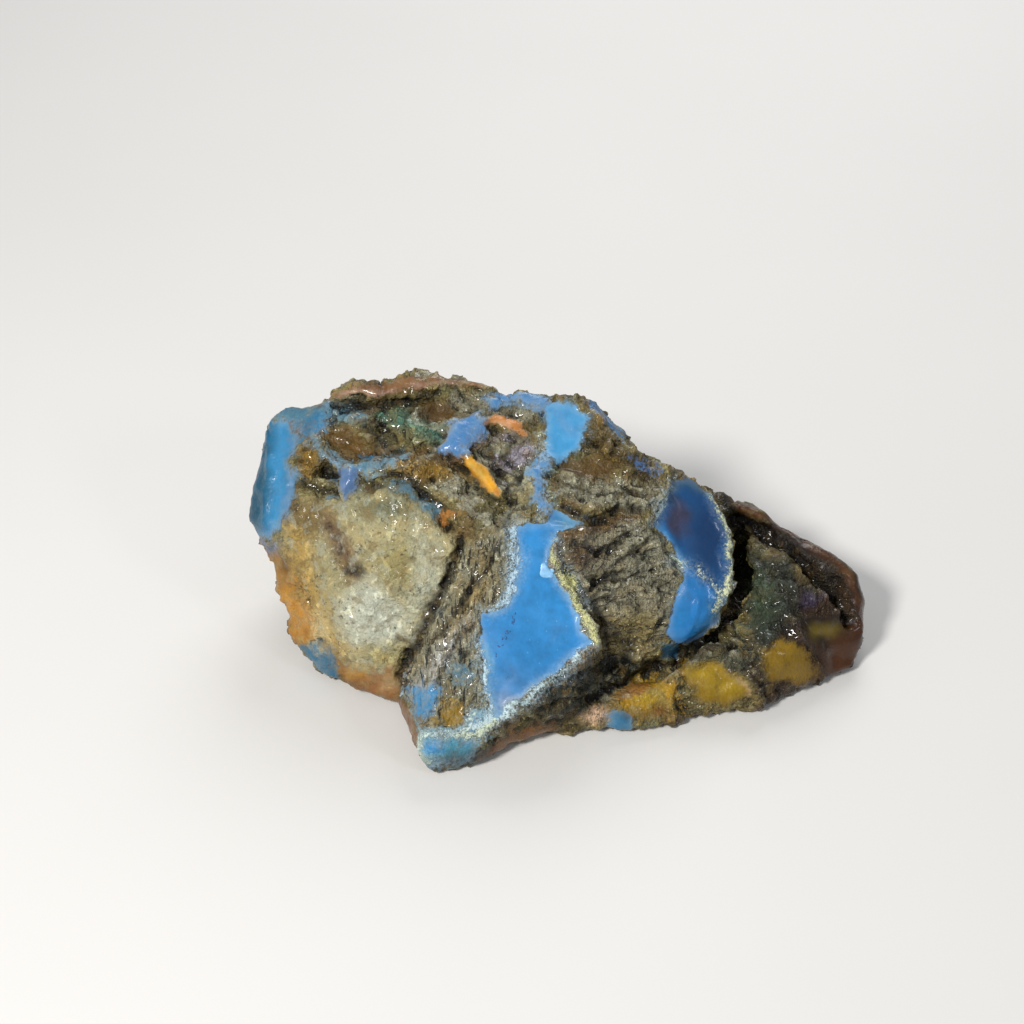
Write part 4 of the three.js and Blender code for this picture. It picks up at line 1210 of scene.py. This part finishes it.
# Roughness, the thin wet coat and the bump.
def surfaceFeel(wire, on):
    olive, band, right = on.oliveShare, on.bandShare, on.rightShare
    clean = on.window * (1 - on.grit * 0.6)
    bare = 1 - clean
    edge = 1 - on.glass.step(0.0, 0.9)
    gloss = on.gloss * (1 - edge * 0.7)
    wet = on.swirl.step(0.46, 0.6) * bare * (1 - olive * 0.6)
    roughness = 0.58 - clean * (0.12 + gloss * 0.25 - edge * 0.14) + on.chalk * 0.35
    roughness = roughness - on.crumb.step(0.5, 0.62) * 0.2 * bare - wet * 0.22
    coat = 0.12 - olive * 0.06 + right * bare * 0.2 + wet * 0.45 + clean * (gloss * 0.5 - 0.05)
    coat = coat * (1 - on.chalk * 0.9)
    facets = wire.cells(on.place, 0.36, distance="MANHATTAN") * (0.6 - olive * 0.35)
    height = bare * (on.wobble * 0.5 + on.crumb * 0.6 + on.dust * 0.25 - facets)
    height = height + on.chalk * on.crumb * 0.5
    height = height + (band * on.bandStreak + right * on.rightStreak) * bare
    bump = {"Strength": 1.0, "Distance": amberLook["bump"], "Height": height}
    return {"Roughness": roughness, "Coat Weight": coat, "Normal": wire.node("ShaderNodeBump", None, bump)}


def amberMaterial():
    material, wire = newMaterial("weathered_amber")
    on = lumpWires(wire)
    rind = rindColour(wire, on)
    amber = amberColour(wire, on, rind)
    chalkTone = wire.mixed(solid("chalk"), solid("cream"), on.creamShare)
    chalkTone = wire.tinted(chalkTone, 0.45 + on.crumb * 0.55 + on.dust * 0.5)
    colour = wire.mixed(wire.mixed(rind, amber, on.window), chalkTone, on.chalk)
    clear = on.window * (1 - on.chalk) * on.clearness * (0.6 + on.swirl * 0.8) * (1 - on.grit * 0.5)
    shared = {
        **surfaceFeel(wire, on), "IOR": amberLook["ior"], "Specular IOR Level": amberLook["specular"],
        "Coat Roughness": amberLook["coatRoughness"]}
    opaque = wire.node("ShaderNodeBsdfPrincipled", None, {**shared, "Base Color": colour})
    seeThrough = wire.node("ShaderNodeBsdfPrincipled", None, {
        **shared, "Base Color": amber, "Transmission Weight": 1.0})
    surface = wire.node("ShaderNodeMixShader", None, {0: clear, 1: opaque, 2: seeThrough})
    inside = wire.node("ShaderNodeVolumeAbsorption", None, {
        "Color": amberLook["absorption"], "Density": amberLook["density"]})
    wire.finish(surface, Volume=inside)
    return material


# A small stone's finish: the rind's tone under it, or chalk, and its own light or dark.
def stoneMaterial(name, chalky):
    material, wire = newMaterial(name)
    tone = wire.named("rindTone", out="Color")
    if chalky:
        tone = wire.mixed(solid("chalk"), solid("cream"), wire.named("creamShare"))
    colour = wire.tinted(tone, wire.named("shade"))
    wire.plainFinish(colour, 0.75 if chalky else 0.2, amberLook["ior"])
    return material


# A pebble's finish: one tone with a fine cloud in it.
def pebbleMaterial(name, tone, roughness):
    material, wire = newMaterial(name)
    wire.plainFinish(wire.tinted(linearColour(tone), 0.5 + wire.cloud(wire.place(), 0.5)), roughness)
    return material


# The two sets of small stones: stones a square mm, where the piece's own field lets none or all of
# them in, radii in mm, and how their tone runs from dim to bright.
crumbSets = {
    "chalk_crumbs": dict(
        density=14.0, none=-0.4, all=0.25, least=0.03, most=0.075, dim=0.6, bright=1.1, seed=4),
    "rind_grains": dict(
        density=3.5, none=0.0, all=0.7, least=0.04, most=0.12, dim=0.5, bright=2.4, seed=9),
}
crumbUnits = dict(density=mm ** -2, least=mm, most=mm)


# A random value for each stone, between two given ones. Sockets differ by the kind of value.
def anyBetween(wire, kind, low, high, seed):
    first, last, out = (0, 1, 0) if kind == "FLOAT_VECTOR" else (2, 3, 1)
    values = {first: low, last: high, "Seed": seed}
    return wire.node("FunctionNodeRandomValue", dict(data_type=kind), values, out=out)


def crumbTree():
    tree = bpy.data.node_groups.new("crumbs", "GeometryNodeTree")
    sockets = {"Lump": "Geometry", "Where": "String", "Density": "Float", "None": "Float", "All": "Float",
               "Least": "Float", "Most": "Float", "Dim": "Float", "Bright": "Float", "Seed": "Int",
               "Material": "Material"}
    for name, kind in sockets.items():
        tree.interface.new_socket(name, in_out="INPUT", socket_type="NodeSocket" + kind)
    tree.interface.new_socket("Crumbs", in_out="OUTPUT", socket_type="NodeSocketGeometry")
    wire = Wire(tree)
    given = {name: wire.node("NodeGroupInput", out=name) for name in sockets}
    where = wire.node("GeometryNodeInputNamedAttribute", dict(data_type="FLOAT"), {"Name": given["Where"]})
    points = wire.node("GeometryNodeDistributePointsOnFaces", None, {
        "Mesh": given["Lump"], "Density": where.step(-1.5, -1.2) * given["Density"], "Seed": given["Seed"]})
    limit = anyBetween(wire, "FLOAT", given["None"], given["All"], given["Seed"] + 4)
    wanted = wire.node("FunctionNodeCompare", dict(data_type="FLOAT", operation="GREATER_THAN"), {
        0: where, 1: limit})
    stone = wire.node("GeometryNodeMeshIcoSphere", None, {"Radius": 1.0, "Subdivisions": 1})
    turn = anyBetween(wire, "FLOAT_VECTOR", (0, 0, 0), (6.28, 6.28, 6.28), given["Seed"])
    size = anyBetween(wire, "FLOAT", given["Least"], given["Most"], given["Seed"] + 1)
    form = anyBetween(wire, "FLOAT_VECTOR", (0.5, 0.5, 0.5), (1.2, 1.2, 1.2), given["Seed"] + 2)
    stones = wire.node("GeometryNodeInstanceOnPoints", None, {
        "Points": points, "Selection": wanted, "Instance": stone, "Rotation": turn,
        "Scale": wire.tinted(form, size)})
    shade = anyBetween(wire, "FLOAT", given["Dim"], given["Bright"], given["Seed"] + 3)
    shaded = wire.node("GeometryNodeStoreNamedAttribute", dict(data_type="FLOAT", domain="INSTANCE"), {
        "Geometry": stones, "Name": "shade", "Value": shade})
    real = wire.node("GeometryNodeRealizeInstances", None, {"Geometry": shaded})
    dressed = wire.node("GeometryNodeSetMaterial", None, {"Geometry": real, "Material": given["Material"]})
    wire.node("NodeGroupOutput", None, {"Crumbs": dressed})
    return tree


def crumbs(lump, tree, name, material):
    values = {"Where": name, "Material": material}
    for key, value in crumbSets[name].items():
        values[key.capitalize()] = value * crumbUnits.get(key, 1)
    carrier = placed(lump.data.copy(), name + "_carrier")
    maker = carrier.modifiers.new("crumbs", "NODES")
    maker.node_group = tree
    for item in tree.interface.items_tree:
        if item.name in values:
            maker[item.identifier] = values[item.name]
    mesh = applied(carrier, name)
    mesh.materials.pop(index=0)      # the tree leaves an empty slot before its own
    bpy.data.objects.remove(carrier)
    print(name, "made of", len(mesh.polygons), "triangles")
    return placed(mesh, name)


# A point of the lump's front face near (x, v), and the way it faces.
def frontSpot(survey, x, v):
    along, up, outward = drawingPlanes["front"]
    distance = np.linalg.norm(survey["flats"]["front"] - (x, v), axis=1)
    turnedAway = survey["facings"]["front"] < 0.2
    chosen = np.argmax(survey["levels"]["front"] - 8 * distance - 100 * turnedAway)
    facing = survey["calm"][chosen]
    level = survey["points"][chosen] @ facing
    spot = x * along + v * up
    spot = spot + outward * (level - spot @ facing) / (outward @ facing)
    return spot, facing


# A flat pebble set in the surface at (x, v), sunk by its own depth.
def pebble(survey, x, v, wide, tall, thick, sunk, detail, seed):
    spot, facing = frontSpot(survey, x, v)
    across = np.cross(facing, drawingPlanes["front"][0])
    across /= np.linalg.norm(across)
    side = np.cross(across, facing)
    work = bmesh.new()
    bmesh.ops.create_icosphere(work, subdivisions=detail, radius=1.0)
    shape = np.array([list(vert.co) for vert in work.verts])
    shape *= (1 + 0.35 * latticeNoise(shape, 0.7, seed))[:, None]
    points = spot - facing * sunk + shape[:, :1] * wide * side + shape[:, 1:2] * tall * across
    points = points + shape[:, 2:] * thick * facing
    faces = [[vert.index for vert in face.verts] for face in work.faces]
    work.free()
    return points * mm, faces


# Specks in the big window, a flake sealed in the right one and a pale curl on the big one. A finish is
# its name, tone and roughness, and group is how many pebbles lie round each place. A place is x, v, half
# width, half height, half thickness, how far it is sunk, all in mm, and how finely it is made.
pebbleSets = {
    "window_specks": dict(finish=("dark_speck", "deepSpeck", 0.4), group=4, places=[
        (-4.8, 3.9, 0.1, 0.22, 0.03, 0.0, 2), (-4.9, 3.2, 0.13, 0.16, 0.03, 0.0, 2),
        (-5.5, 2.3, 0.2, 0.14, 0.03, 0.0, 2), (-5.8, 1.7, 0.12, 0.16, 0.03, 0.0, 2),
        (-6.3, 0.8, 0.16, 0.1, 0.03, 0.0, 2), (-6.6, -0.2, 0.08, 0.12, 0.03, 0.0, 2),
        (1.6, 0.3, 0.16, 0.07, 0.03, 0.0, 2), (-5.6, -2.4, 0.1, 0.07, 0.03, 0.0, 2)]),
    "sealed_flake": dict(finish=("brown_flake", "flakeBrown", 0.6), group=1, places=[
        (12.7, 13.7, 0.9, 1.5, 0.2, 0.35, 3)]),
    "pale_curl": dict(finish=("pale_curl", "curlBlue", 0.3), group=1, places=[
        (-1.5, 8.3, 0.85, 0.8, 0.06, 0.0, 3), (-0.9, 8.5, 0.24, 0.4, 0.12, 0.0, 2),
        (-1.1, 7.8, 0.32, 0.18, 0.1, 0.0, 2)]),
}


def pebbles(name, survey, finish, group, places):
    draw = np.random.default_rng(len(places))
    points, faces = [], []
    for number, place in enumerate(places):
        for member in range(group):
            x, v, wide, tall, *rest = place
            off = draw.normal(size=2) * (wide, tall) * 0.9 * (group > 1)
            share = draw.uniform(0.5, 1.0) if group > 1 else 1.0
            made, ownFaces = pebble(survey, x + off[0], v + off[1], wide * share, tall * share, *rest,
                                    seed=10 * number + member + 1)
            faces += [[corner + len(points) for corner in face] for face in ownFaces]
            points += made.tolist()
    mesh = bpy.data.meshes.new(name)
    mesh.from_pydata(points, [], faces)
    mesh.polygons.foreach_set("use_smooth", np.ones(len(faces), bool))
    mesh.materials.append(pebbleMaterial(*finish))
    print(name, "made of", len(faces), "triangles")
    return placed(mesh, name)


stageSet = dict(
    aim=(-5.0, 3.1, 3.5),         # mm from the middle of the box
    distance=209.0, lens=70.0,
    floorSize=1600.0, floorTone=(0.72, 0.71, 0.69),
    roomTone=(0.86, 0.88, 0.92, 1), roomStrength=0.3,
)
lamps = dict(
    key=dict(at=(-170, -190, 260), size=75, power=1.22, tint=(1.0, 0.98, 0.95)),
    fill=dict(at=(230, -150, 190), size=60, power=0.1, tint=(0.93, 0.96, 1.0)),
    rim=dict(at=(60, 240, 210), size=180, power=0.45, tint=(1.0, 1.0, 1.0)),
)


def addCamera():
    data = bpy.data.cameras.new("view")
    data.lens = stageSet["lens"]
    data.clip_start = 0.01
    camera = placed(data, "view")
    aim = boxMiddle + np.array(stageSet["aim"])
    camera.location = (aim + drawingPlanes["front"][2] * stageSet["distance"]) * mm
    camera.rotation_euler = (math.pi / 2 - frontLean, 0, 0)
    bpy.context.scene.camera = camera


def addLamp(name, at, size, power, tint):
    data = bpy.data.lights.new(name, "AREA")
    data.shape = "DISK"
    data.size = size * mm
    data.energy = power
    data.color = tint
    lamp = placed(data, name)
    lamp.location = (boxMiddle + np.array(at)) * mm
    lamp.rotation_euler = Vector([-part for part in at]).to_track_quat("-Z", "Y").to_euler()


def floorMaterial():
    material, wire = newMaterial("pale_floor")
    shade = wire.tinted(stageSet["floorTone"], 0.97 + wire.cloud(wire.place(), 60.0) * 0.06)
    wire.plainFinish(shade, 0.7)
    return material


def addFloor():
    half = stageSet["floorSize"] * mm / 2
    corners = [(-half, -half, 0), (half, -half, 0), (half, half, 0), (-half, half, 0)]
    mesh = bpy.data.meshes.new("floor")
    mesh.from_pydata(corners, [], [(0, 1, 2, 3)])
    mesh.materials.append(floorMaterial())
    floor = placed(mesh, "floor")
    floor.location.z = cadLow[2]


def addRoom():
    world = bpy.data.worlds.new("pale_room")
    world.use_nodes = True
    room = world.node_tree.nodes["Background"].inputs
    room["Color"].default_value = stageSet["roomTone"]
    room["Strength"].default_value = stageSet["roomStrength"]
    bpy.context.scene.world = world
    bpy.context.scene.view_settings.view_transform = "Standard"


lump = builtLump()
lump.data.materials.clear()
lump.data.materials.append(amberMaterial())
tree = crumbTree()
survey = surveyed(lump.data, rounds=3)
pieces = [lump]
pieces.append(crumbs(lump, tree, "chalk_crumbs", stoneMaterial("chalk_stone", chalky=True)))
pieces.append(crumbs(lump, tree, "rind_grains", stoneMaterial("rind_stone", chalky=False)))
for name, settings in pebbleSets.items():
    pieces.append(pebbles(name, survey, **settings))
for piece in pieces:
    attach(piece, "root")
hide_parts("amber_specimen")
addCamera()
addFloor()
for name, settings in lamps.items():
    addLamp(name, **settings)
addRoom()
print("stage set")
